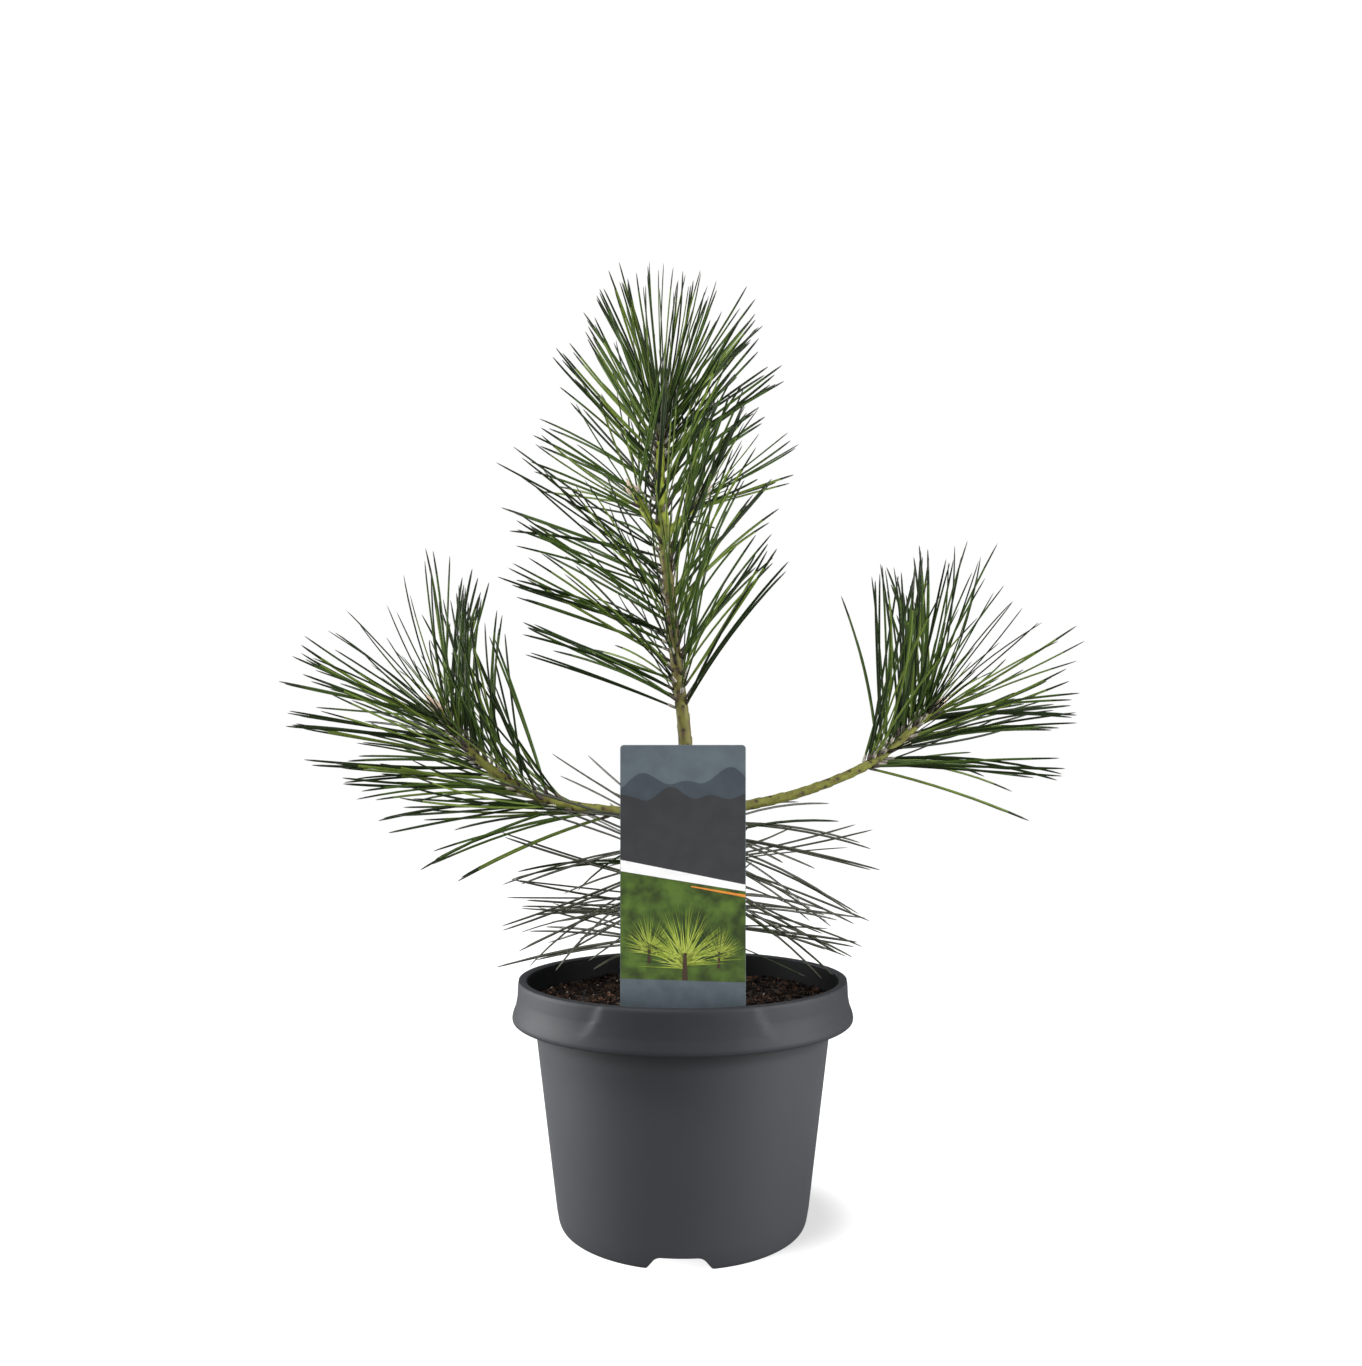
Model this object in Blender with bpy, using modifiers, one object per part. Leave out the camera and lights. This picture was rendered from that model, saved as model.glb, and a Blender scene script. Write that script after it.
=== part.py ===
"""Young black pine, about 0.56 m tall, in a round nursery pot with a picture label.

The frame is the pot's own: Z up along its axis, the origin on the ground under its middle,
X to the right and Y away from the front. All values are in metres unless a name says otherwise.
"""
import math
import random
from collections import namedtuple

import bmesh
import bpy
import numpy as np
from mathutils import Matrix, Vector

MM = 0.001
GAP = 0.3 * MM

# Pot, turned about its axis
POT_HEIGHT = 130.4 * MM
POT_WIDEST = 96.6 * MM
POT_WALL = 1.5 * MM
POT_TURN = math.radians(-1.5)
POT_STEPS = 40
FOOT_RADIUS = 69.2 * MM
WALL_TOP_RADIUS = 84.5 * MM
WALL_TOP = 111.0 * MM
FOOT_HEIGHT = 6.0 * MM
FLOOR_THICKNESS = 2.0 * MM
NOTCHES = 4
NOTCH_TOP_WIDTH = 23.0 * MM
NOTCH_FOOT_WIDTH = 34.0 * MM
NOTCH_HEIGHT = 5.4 * MM
NOTCH_DEPTH = 16.0 * MM
NOTCH_BELOW = 2.0 * MM
DRAIN_HOLES = 8
DRAIN_SIDES = 12
DRAIN_RADIUS = 4.0 * MM
DRAIN_CIRCLE = 46.0 * MM

# Compost
SOIL_TOP = 119.0 * MM
SOIL_EDGE_FALL = 1.2 * MM
SOIL_LEVEL_RADIUS = 30.0 * MM
SOIL_EDGE_RADIUS = 86.2 * MM

# Label
LABEL_WIDTH = 63.0 * MM
LABEL_THICKNESS = 0.8 * MM
LABEL_TOP = 258.5 * MM
LABEL_FRONT = -89.9 * MM
LABEL_LEAN = math.radians(6.6)
LABEL_CORNER = 3.0 * MM
LABEL_BODY = 139.0 * MM
LABEL_TAIL = 34.0 * MM
LABEL_TAIL_WIDTH = 16.0 * MM
LABEL_TAPER = 12.0 * MM
LABEL_POINT_WIDTH = 4.0 * MM
LABEL_CORNER_STEPS = 5

# Limbs: points of the middle line with the radius there, (x, y, z, radius) in millimetres
TRUNK = (
    (0.0, 0.0, (SOIL_TOP + GAP) / MM, 5.6),
    (1.0, 0.0, 168.0, 5.2),
    (1.6, 0.0, 217.0, 5.0),
    (1.4, 0.0, 266.0, 4.1),
    (-3.8, 0.0, 312.0, 3.6),
    (-8.0, 0.0, 354.0, 3.3),
    (-11.5, 0.0, 393.0, 3.8),
    (-13.7, 0.0, 434.0, 2.8),
    (-11.8, 0.0, 474.0, 2.4),
)
FLARE = 2.2 * MM
FLARE_HEIGHT = 5.0 * MM
BOUGH_LEFT = (
    (0.5, -1.0, 221.0, 3.4),
    (-37.0, -4.0, 224.0, 3.1),
    (-80.5, -8.0, 231.5, 2.9),
    (-116.5, -11.0, 253.0, 2.6),
    (-142.5, -12.5, 283.0, 2.2),
)
BOUGH_RIGHT = (
    (2.0, 1.0, 222.5, 3.4),
    (37.0, 4.0, 227.5, 3.1),
    (77.0, 7.0, 237.5, 2.8),
    (117.0, 10.0, 255.5, 2.6),
    (153.5, 12.5, 286.5, 2.2),
)
SHOOT_LEFT = (
    (-11.5, 0.0, 390.0, 2.4),
    (-20.0, -2.0, 399.0, 2.3),
    (-29.5, -3.5, 416.0, 2.0),
)
SHOOT_RIGHT = (
    (-11.5, 0.0, 390.0, 2.4),
    (-2.5, 3.0, 399.0, 2.2),
    (7.0, 6.0, 410.0, 2.1),
    (13.5, 7.5, 421.0, 1.9),
)
BUD_LENGTH = 13.0
BUD_RADII = (2.9, 3.1, 2.5, 0.7)
LIMB_SIDES = 8
LIMB_STEP = 9.0
LIMB_FINE_STEPS = 60
LIMB_AHEAD = 0.02
CLEARANCE_SCALE = 1.03
SHARP_EDGE = math.radians(35.0)

# Needles
GOLDEN_ANGLE = math.radians(137.508)
NEEDLE_RADIUS = 0.76 * MM
NEEDLE_BEND_AT = 0.66
SLEEVE_WALL = 1.4 * MM
ROOT_DEPTH = 0.95 * MM
PAIR_FORK = (math.radians(3.0), math.radians(7.0))
ROUND_JITTER = 0.25
LENGTH_RANGE = (0.90, 1.03)
PAIR_RANGE = (0.97, 1.0)
AT_LIMB = 8.0 * MM
LEAST_OUT = 0.30
KEEP_CLEAR = 0.5 * MM
REACH = 238.0 * MM
DEPTH = 98.0 * MM
CLOSING = 2.0
SAMPLES = 64

# A mass of needles: the limb it grows on, the stretch of the limb (its heights in millimetres on
# the trunk, shares of its length elsewhere), the number of pairs, then at the first and last pair
# the angle to the limb in degrees, the length in millimetres, the turn along a needle in degrees
# and how far its direction is lifted, the drift to the right, and the spread of the angles and the
# wave of the turns in degrees
Mass = namedtuple("Mass", "name limb first last pairs angle length turn lift drift spread wave seed")
MASSES = (
    Mass("needles_bough_left", BOUGH_LEFT, 0.280, 0.985, 48,
         (45, 42), (98, 107), (-4, -4), (0.34, 0.02), 0.0, 10, 7, 21),
    Mass("needles_bough_right", BOUGH_RIGHT, 0.700, 0.985, 40,
         (52, 34), (99, 102), (-2, -4), (0.14, 0.12), 0.0, 10, 7, 42),
    Mass("needles_shoot_left", SHOOT_LEFT, 0.300, 0.970, 15,
         (54, 34), (90, 88), (-2, -4), (0.0, 0.0), 0.0, 11, 7, 27),
    Mass("needles_shoot_right", SHOOT_RIGHT, 0.350, 0.970, 11,
         (44, 24), (86, 74), (-2, -4), (0.0, 0.0), 0.0, 11, 7, 28),
    Mass("needles_leader_tip", TRUNK, 438.0, 473.0, 28,
         (50, 12), (92, 90), (-2, -4), (0.0, 0.0), 0.10, 9, 5, 23),
    Mass("needles_leader_upper", TRUNK, 401.0, 434.0, 24,
         (54, 46), (98, 96), (2, -2), (0.0, 0.0), 0.02, 11, 7, 34),
    Mass("needles_leader_middle", TRUNK, 333.0, 383.0, 22,
         (56, 56), (106, 108), (4, 4), (0.1, 0.1), -0.27, 11, 9, 25),
    Mass("needles_leader_low", TRUNK, 287.0, 329.0, 20,
         (58, 57), (104, 110), (4, 4), (0.1, 0.1), -0.25, 11, 9, 26),
    Mass("needles_trunk_foot", TRUNK, 150.0, 208.0, 38,
         (96, 84), (99, 101), (6, 4), (0.0, 0.0), 0.0, 24, 14, 29),
)
SLEEVE_MARGIN = 1.5
BOUGH_TIPS = {"needles_bough_left": 0.235, "needles_bough_right": 0.655}


def clear_scene():
    """Empty the scene that the file opens with."""
    for thing in list(bpy.data.objects):
        bpy.data.objects.remove(thing, do_unlink=True)


def new_collection(name):
    group = bpy.data.collections.new(name)
    bpy.context.scene.collection.children.link(group)
    return group


def new_material(name, colour, roughness):
    """Plain Principled material with the part's own colour."""
    finish = bpy.data.materials.new(name)
    finish.use_nodes = True
    shader = finish.node_tree.nodes["Principled BSDF"]
    shader.inputs["Base Color"].default_value = (*colour, 1.0)
    shader.inputs["Roughness"].default_value = roughness
    shader.inputs["Metallic"].default_value = 0.0
    return finish


def add_mesh(name, mesh, group):
    thing = bpy.data.objects.new(name, mesh)
    group.objects.link(thing)
    return thing


def make_cutter(thing):
    """Mark an object as a tool for cutting, not a part."""
    thing.hide_render = True
    thing.display_type = "WIRE"


def apply_modifier(thing, modifier):
    bpy.ops.object.select_all(action="DESELECT")
    bpy.context.view_layer.objects.active = thing
    thing.select_set(True)
    bpy.ops.object.modifier_apply(modifier=modifier.name)


def cut(thing, tool):
    """Take the tool's shape out of a part, for good."""
    boolean = thing.modifiers.new("cut", "BOOLEAN")
    boolean.operation = "DIFFERENCE"
    boolean.solver = "EXACT"
    boolean.object = tool
    apply_modifier(thing, boolean)


def mesh_from_curve(thing, group):
    """Turn a curve object into a closed mesh object of the same name."""
    bpy.context.view_layer.update()
    seen = thing.evaluated_get(bpy.context.evaluated_depsgraph_get())
    mesh = bpy.data.meshes.new_from_object(seen)
    name = thing.name
    place = thing.matrix_world.copy()
    curve = thing.data
    bpy.data.objects.remove(thing, do_unlink=True)
    bpy.data.curves.remove(curve)
    solid = bmesh.new()
    solid.from_mesh(mesh)
    bmesh.ops.remove_doubles(solid, verts=solid.verts, dist=0.00001)
    bmesh.ops.recalc_face_normals(solid, faces=solid.faces)
    solid.to_mesh(mesh)
    solid.free()
    made = add_mesh(name, mesh, group)
    made.matrix_world = place
    return made


def limb_at(limb, t):
    """Middle point and radius of a limb, in metres, at t from 0 to 1 on a smooth curve."""
    known = [np.array(point) * MM for point in limb]
    known = [2 * known[0] - known[1]] + known + [2 * known[-1] - known[-2]]
    spans = len(known) - 3
    place = min(max(t, 0.0), 1.0) * spans
    span = min(int(place), spans - 1)
    u = place - span
    a, b, c, d = known[span:span + 4]
    at = 0.5 * (2 * b + (c - a) * u + (2 * a - 5 * b + 4 * c - d) * u ** 2
                + (3 * b - a - 3 * c + d) * u ** 3)
    radius = at[3]
    if limb is TRUNK:
        radius += FLARE * math.exp((known[1][2] - at[2]) / FLARE_HEIGHT)
    return at[:3], radius


def share_at(limb, height):
    """Share of the trunk's length at a height in millimetres."""
    low, high = 0.0, 1.0
    for _ in range(30):
        middle = (low + high) / 2
        if limb_at(limb, middle)[0][2] < height * MM:
            low = middle
        else:
            high = middle
    return low


def on_trunk(mass):
    return mass.limb is TRUNK


def stretch(mass, margin=0.0):
    """First and last share of the limb that a mass covers."""
    if on_trunk(mass):
        return share_at(mass.limb, mass.first - margin), share_at(mass.limb, mass.last + margin)
    return mass.first, mass.last


def unit(vector):
    return vector / np.linalg.norm(vector)


def limb_direction(limb, t):
    ahead = limb_at(limb, min(t + LIMB_AHEAD, 1.0))[0]
    behind = limb_at(limb, max(t - LIMB_AHEAD, 0.0))[0]
    return unit(ahead - behind)


def limb_stations(limb, first, last, extra=0.0):
    """Points and radii along a stretch of a limb, about LIMB_STEP millimetres apart."""
    length = 0.0
    shares = np.linspace(first, last, LIMB_FINE_STEPS + 1)
    walk = [limb_at(limb, share)[0] for share in shares]
    for a, b in zip(walk, walk[1:]):
        length += np.linalg.norm(b - a)
    count = max(2, round(length / (LIMB_STEP * MM)))
    stations = []
    for k in range(count + 1):
        point, radius = limb_at(limb, first + (last - first) * k / count)
        stations.append((point, radius + extra))
    return stations


def with_bud(stations, limb, last):
    """Carry a shoot on into its pointed winter bud."""
    point, _ = stations[-1]
    along = limb_direction(limb, last)
    step = BUD_LENGTH * MM / len(BUD_RADII)
    bud = [(point + along * step * (k + 1), radius * MM) for k, radius in enumerate(BUD_RADII)]
    return stations + bud


def tube(name, stations, group):
    """Round limb through the stations, as a curve with a bevel made into a mesh."""
    curve = bpy.data.curves.new(name, "CURVE")
    curve.dimensions = "3D"
    curve.bevel_depth = 1.0
    curve.bevel_resolution = LIMB_SIDES // 4
    curve.use_fill_caps = True
    line = curve.splines.new("POLY")
    line.points.add(len(stations) - 1)
    for knot, (point, radius) in zip(line.points, stations):
        knot.co = (*point, 1.0)
        knot.radius = radius
    thing = bpy.data.objects.new(name, curve)
    group.objects.link(thing)
    return mesh_from_curve(thing, group)


def turned(name, profile, group):
    """Solid of revolution from a profile that runs down its outer side."""
    mesh = bpy.data.meshes.new(name)
    points = [(r, 0.0, z) for r, z in profile]
    edges = [(k, k + 1) for k in range(len(points) - 1)]
    mesh.from_pydata(points, edges, [])
    thing = add_mesh(name, mesh, group)
    screw = thing.modifiers.new("turn", "SCREW")
    screw.steps = POT_STEPS
    screw.render_steps = POT_STEPS
    screw.use_merge_vertices = True
    screw.merge_threshold = 0.00001
    apply_modifier(thing, screw)
    return thing


def wall_radius(z):
    """Outer radius of the pot's tapering wall at a height."""
    return FOOT_RADIUS + (WALL_TOP_RADIUS - FOOT_RADIUS) * z / WALL_TOP


def pot_profile():
    """Half section of the pot: floor, inner wall, lip, collar, outer wall and foot ring."""
    floor_top = FOOT_HEIGHT + FLOOR_THICKNESS
    edge = 1.0 * MM
    inner = [
        (0.0, floor_top),
        (wall_radius(floor_top) - POT_WALL - edge, floor_top),
        (wall_radius(floor_top) - POT_WALL, floor_top + edge),
        (WALL_TOP_RADIUS - POT_WALL, WALL_TOP),
        (86.6 * MM, 115.5 * MM),
        (88.3 * MM, POT_HEIGHT - edge),
        (89.0 * MM, POT_HEIGHT),
    ]
    collar = [
        (93.0 * MM, POT_HEIGHT),
        (94.0 * MM, POT_HEIGHT - 1.0 * MM),
        (94.5 * MM, 121.0 * MM),
        (95.1 * MM, 116.0 * MM),
        (96.3 * MM, 112.0 * MM),
        (POT_WIDEST, 110.2 * MM),
        (96.3 * MM, 108.8 * MM),
        (95.4 * MM, 108.2 * MM),
        (94.4 * MM, 109.0 * MM),
        (92.4 * MM, 115.5 * MM),
        (91.0 * MM, 118.5 * MM),
        (88.6 * MM, 114.8 * MM),
    ]
    outer = [
        (WALL_TOP_RADIUS, WALL_TOP),
        (wall_radius(3.0 * MM), 3.0 * MM),
        (FOOT_RADIUS - 0.2 * MM, edge),
        (FOOT_RADIUS - edge, 0.0),
        (FOOT_RADIUS - 2.8 * MM, 0.0),
        (FOOT_RADIUS - 3.0 * MM, FOOT_HEIGHT),
        (0.0, FOOT_HEIGHT),
    ]
    return inner + collar + outer


def prism(name, outline, thickness, group):
    """Flat outline in its XY plane, made as thick as asked, half to each side."""
    curve = bpy.data.curves.new(name, "CURVE")
    curve.dimensions = "2D"
    curve.fill_mode = "BOTH"
    curve.extrude = thickness / 2
    line = curve.splines.new("POLY")
    line.points.add(len(outline) - 1)
    line.use_cyclic_u = True
    for knot, (x, y) in zip(line.points, outline):
        knot.co = (x, y, 0.0, 1.0)
    thing = bpy.data.objects.new(name, curve)
    group.objects.link(thing)
    return thing


def notch_tool(index, group):
    """Wedge that cuts one drain notch through the foot ring."""
    outline = (
        (-NOTCH_FOOT_WIDTH / 2, -NOTCH_BELOW),
        (NOTCH_FOOT_WIDTH / 2, -NOTCH_BELOW),
        (NOTCH_FOOT_WIDTH / 2, 0.0),
        (NOTCH_TOP_WIDTH / 2, NOTCH_HEIGHT),
        (-NOTCH_TOP_WIDTH / 2, NOTCH_HEIGHT),
        (-NOTCH_FOOT_WIDTH / 2, 0.0),
    )
    tool = prism(f"notch_tool_{index}", outline, NOTCH_DEPTH, group)
    turn = POT_TURN + index * 2 * math.pi / NOTCHES
    upright = Matrix.Rotation(math.pi / 2, 4, "X")
    out = Matrix.Translation((0.0, -FOOT_RADIUS, 0.0))
    tool.matrix_world = Matrix.Rotation(turn, 4, "Z") @ out @ upright
    return mesh_from_curve(tool, group)


def drain_tool(index, group):
    """Round punch for one drain hole in the pot's floor."""
    solid = bmesh.new()
    bmesh.ops.create_cone(solid, cap_ends=True, segments=DRAIN_SIDES, radius1=DRAIN_RADIUS,
                          radius2=DRAIN_RADIUS, depth=3 * FLOOR_THICKNESS)
    turn = POT_TURN + (index + 0.5) * 2 * math.pi / DRAIN_HOLES
    height = FOOT_HEIGHT + FLOOR_THICKNESS / 2
    at = Vector((DRAIN_CIRCLE * math.sin(turn), -DRAIN_CIRCLE * math.cos(turn), height))
    bmesh.ops.translate(solid, verts=solid.verts, vec=at)
    mesh = bpy.data.meshes.new(f"drain_tool_{index}")
    solid.to_mesh(mesh)
    solid.free()
    return add_mesh(mesh.name, mesh, group)


def make_pot(parts, tools):
    pot = turned("pot", pot_profile(), parts)
    cutters = [notch_tool(index, tools) for index in range(NOTCHES)]
    cutters += [drain_tool(index, tools) for index in range(DRAIN_HOLES)]
    for tool in cutters:
        make_cutter(tool)
        cut(pot, tool)
    return pot


def make_compost(parts):
    """Root ball of compost that fills the pot to just under its lip."""
    floor = FOOT_HEIGHT + FLOOR_THICKNESS + GAP
    profile = (
        (0.0, SOIL_TOP),
        (SOIL_LEVEL_RADIUS, SOIL_TOP),
        (SOIL_EDGE_RADIUS, SOIL_TOP - SOIL_EDGE_FALL),
        (SOIL_EDGE_RADIUS - 0.2 * MM, 115.8 * MM),
        (WALL_TOP_RADIUS - POT_WALL - 2 * GAP, WALL_TOP),
        (wall_radius(floor) - POT_WALL - 3 * GAP, floor + 2 * MM),
        (wall_radius(floor) - POT_WALL - 2 * MM, floor),
        (0.0, floor),
    )
    return turned("compost", profile, parts)


def label_outline(grow):
    """Card with rounded top corners and a tail that goes into the compost."""
    half = LABEL_WIDTH / 2 + grow
    tail = LABEL_TAIL_WIDTH / 2 + grow
    point = LABEL_POINT_WIDTH / 2 + grow
    outline = []
    for side, start in ((1, 0.0), (-1, math.pi / 2)):
        for k in range(LABEL_CORNER_STEPS + 1):
            turn = start + k * math.pi / 2 / LABEL_CORNER_STEPS
            outline.append((side * (half - LABEL_CORNER) + LABEL_CORNER * math.cos(turn),
                            grow - LABEL_CORNER + LABEL_CORNER * math.sin(turn)))
    outline += [
        (-half, -LABEL_BODY),
        (-tail, -LABEL_BODY - LABEL_TAPER),
        (-point, -LABEL_BODY - LABEL_TAIL - grow),
        (point, -LABEL_BODY - LABEL_TAIL - grow),
        (tail, -LABEL_BODY - LABEL_TAPER),
        (half, -LABEL_BODY),
    ]
    return outline


def make_card(name, grow, group):
    card = prism(name, label_outline(grow), LABEL_THICKNESS + 2 * grow, group)
    upright = Matrix.Rotation(math.pi / 2 + LABEL_LEAN, 4, "X")
    card.matrix_world = Matrix.Translation((0.0, LABEL_FRONT, LABEL_TOP)) @ upright
    return mesh_from_curve(card, group)


def label_frame(points):
    """Points as seen by the card: across, up from its top edge and out of its face."""
    across = points[:, 0]
    y = points[:, 1] - LABEL_FRONT
    z = points[:, 2] - LABEL_TOP
    up = z * math.cos(LABEL_LEAN) - y * math.sin(LABEL_LEAN)
    out = y * math.cos(LABEL_LEAN) + z * math.sin(LABEL_LEAN)
    return across, up, out


def needle_line(root, start, bend, length, turn):
    """Root, bend and tip on an arc that leaves its root along start and turns towards bend."""
    bend = unit(bend - np.dot(bend, start) * start)
    points = [root]
    for share in (NEEDLE_BEND_AT, 1.0):
        swing = turn * share
        reach = math.sin(swing) * length / turn
        drop = (1 - math.cos(swing)) * length / turn
        points.append(root + start * reach + bend * drop)
    return np.array(points)


def between(ends, share):
    return ends[0] + (ends[1] - ends[0]) * share


def grow_pairs(mass):
    """Lines of a mass's needles, two from each root, by its seeded rule."""
    rng = random.Random(mass.seed)
    first, last = stretch(mass)
    for index in range(mass.pairs):
        share = (index + 0.5) / mass.pairs
        t = first + (last - first) * share
        point, radius = limb_at(mass.limb, t)
        along = limb_direction(mass.limb, t)
        side = unit(np.cross(along, (0.0, 1.0, 0.0)))
        other = np.cross(along, side)
        azimuth = index * GOLDEN_ANGLE + rng.uniform(-ROUND_JITTER, ROUND_JITTER)
        out = side * math.cos(azimuth) + other * math.sin(azimuth)
        angle = between(mass.angle, share ** CLOSING) + rng.uniform(-mass.spread, mass.spread)
        start = along * math.cos(math.radians(angle)) + out * math.sin(math.radians(angle))
        start = unit(start + (mass.drift, 0.0, between(mass.lift, share)))
        if not on_trunk(mass) and np.dot(start, out) < LEAST_OUT:
            continue
        size = between(mass.length, share) * rng.uniform(*LENGTH_RANGE) * MM
        turn = math.radians(between(mass.turn, share) + rng.uniform(-mass.wave, mass.wave))
        if on_trunk(mass):
            root = point + out * (radius + GAP + SLEEVE_WALL - ROOT_DEPTH)
        else:
            root = point + out * radius / 2
        across = unit(np.cross(start, out + 0.01))
        fork = rng.uniform(*PAIR_FORK)
        for hand in (-1, 1):
            heading = unit(start + across * hand * math.tan(fork))
            yield needle_line(root, heading, -along, size * rng.uniform(*PAIR_RANGE), turn)


def samples(line):
    """Evenly spread points along a needle's line."""
    lengths = np.linalg.norm(np.diff(line, axis=0), axis=1)
    marks = np.concatenate(([0.0], np.cumsum(lengths)))
    where = np.linspace(0.0, marks[-1], SAMPLES)
    return np.stack([np.interp(where, marks, line[:, axis]) for axis in range(3)], axis=1)


class Space:
    """Room that limbs, needles, pot, compost and label already take."""

    def __init__(self):
        self.starts = np.zeros((0, 3))
        self.ends = np.zeros((0, 3))
        self.radii = np.zeros(0)
        self.owners = []

    def take(self, line, radii, owner):
        self.starts = np.vstack([self.starts, line[:-1]])
        self.ends = np.vstack([self.ends, line[1:]])
        self.radii = np.concatenate([self.radii, radii])
        self.owners += [owner] * (len(line) - 1)

    def free_for(self, line, owners):
        """True if a needle on this line stays clear of all but its own mass."""
        points = samples(line)
        reach = abs(points).max(axis=0)
        if reach[0] > REACH or reach[1] > DEPTH or self.meets_pot(points) or self.meets_label(points):
            return False
        others = np.array([owner not in owners for owner in self.owners])
        if not others.any():
            return True
        a = self.starts[others]
        b = self.ends[others]
        ab = b - a
        away = points[:, None, :] - a[None]
        along = np.clip((away * ab).sum(-1) / (ab * ab).sum(-1), 0.0, 1.0)
        distance = np.linalg.norm(away - along[..., None] * ab, axis=-1)
        return bool((distance > self.radii[others] + NEEDLE_RADIUS + KEEP_CLEAR).all())

    @staticmethod
    def meets_pot(points):
        away = NEEDLE_RADIUS + KEEP_CLEAR
        radius = np.hypot(points[:, 0], points[:, 1])
        low = points[:, 2] < POT_HEIGHT + away
        inside = (radius < SOIL_EDGE_RADIUS) & (points[:, 2] > SOIL_TOP + away)
        return bool((low & (radius < POT_WIDEST + away) & ~inside).any())

    @staticmethod
    def meets_label(points):
        away = NEEDLE_RADIUS + KEEP_CLEAR
        across, up, out = label_frame(points)
        near = (abs(across) < LABEL_WIDTH / 2 + away) & (up < away)
        return bool((near & (out < LABEL_THICKNESS / 2 + away)).any())


def make_needle(name, line, roll, group):
    """Three-sided blade, bent once, that runs out to a point."""
    solid = bmesh.new()
    rings = []
    for k, point in enumerate(line[:-1]):
        along = unit(line[k + 1] - line[max(k - 1, 0)])
        side = unit(np.cross(along, (0.3, 0.5, 0.81)))
        other = np.cross(along, side)
        ring = []
        for corner in range(3):
            turn = roll + corner * 2 * math.pi / 3
            offset = (side * math.cos(turn) + other * math.sin(turn)) * NEEDLE_RADIUS
            ring.append(solid.verts.new(point + offset))
        rings.append(ring)
    tip = solid.verts.new(line[-1])
    solid.faces.new(reversed(rings[0]))
    for ring, further in zip(rings, rings[1:]):
        for a in range(3):
            b = (a + 1) % 3
            solid.faces.new((ring[a], ring[b], further[b], further[a]))
    for a in range(3):
        solid.faces.new((rings[-1][a], rings[-1][(a + 1) % 3], tip))
    bmesh.ops.recalc_face_normals(solid, faces=solid.faces)
    mesh = bpy.data.meshes.new(name)
    solid.to_mesh(mesh)
    solid.free()
    return add_mesh(name, mesh, group)


def fuse(thing, group):
    """Join a collection's solids to one object and drop them."""
    union = thing.modifiers.new("join", "BOOLEAN")
    union.operation = "UNION"
    union.operand_type = "COLLECTION"
    union.solver = "EXACT"
    union.collection = group
    apply_modifier(thing, union)
    for extra in list(group.objects):
        bpy.data.objects.remove(extra, do_unlink=True)
    bpy.data.collections.remove(group)


def drop_scraps(thing):
    """Keep the largest of an object's loose bodies."""
    solid = bmesh.new()
    solid.from_mesh(thing.data)
    left = set(solid.verts)
    bodies = []
    while left:
        body = {left.pop()}
        edge = set(body)
        while edge:
            edge = {link.other_vert(vert) for vert in edge for link in vert.link_edges} - body
            body |= edge
        left -= body
        bodies.append(body)
    bodies.sort(key=len)
    for scrap in bodies[:-1]:
        bmesh.ops.delete(solid, geom=list(scrap), context="VERTS")
    solid.to_mesh(thing.data)
    solid.free()


def limb_line(stations):
    line = np.array([point for point, _ in stations])
    radii = np.array([max(a[1], b[1]) for a, b in zip(stations, stations[1:])])
    return line, radii


def mass_stem(mass):
    """Stations of the stem or sleeve that a mass's needles stand on."""
    if on_trunk(mass):
        return limb_stations(mass.limb, *stretch(mass, SLEEVE_MARGIN), GAP + SLEEVE_WALL)
    first = BOUGH_TIPS.get(mass.name, 0.0)
    if first:
        ahead = 0.1
        reach = limb_at(mass.limb, first + ahead)[0] - limb_at(mass.limb, first)[0]
        first += ahead * GAP / np.linalg.norm(reach)
    return with_bud(limb_stations(mass.limb, first, 1.0), mass.limb, 1.0)


def make_mass(mass, space, clearance, parts):
    """One mass: its stem or sleeve with all needles that find room, fused."""
    body = tube(mass.name, mass_stem(mass), parts)
    own = {mass.name, "trunk"} if on_trunk(mass) else {mass.name}
    heap = new_collection(mass.name + "_needles")
    rng = random.Random(mass.seed + 100)
    for number, line in enumerate(grow_pairs(mass)):
        roll = rng.uniform(0.0, 2 * math.pi)
        if not space.free_for(line, own):
            continue
        if on_trunk(mass) and not space.free_for(line_past_root(line), own - {"trunk"}):
            continue
        make_needle(f"{mass.name}_{number}", line, roll, heap)
        space.take(line, np.full(2, NEEDLE_RADIUS), mass.name)
    fuse(body, heap)
    cut(body, clearance)
    drop_scraps(body)


def line_past_root(line):
    """A needle's line without its first few millimetres, which lie at the limb."""
    first = line[0] + unit(line[1] - line[0]) * AT_LIMB
    return np.vstack([first, line[1:]])


def make_limb(name, limb, first, last, parts, bud=False):
    stations = limb_stations(limb, first, last)
    if bud:
        stations = with_bud(stations, limb, last)
    return tube(name, stations, parts), stations


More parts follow.
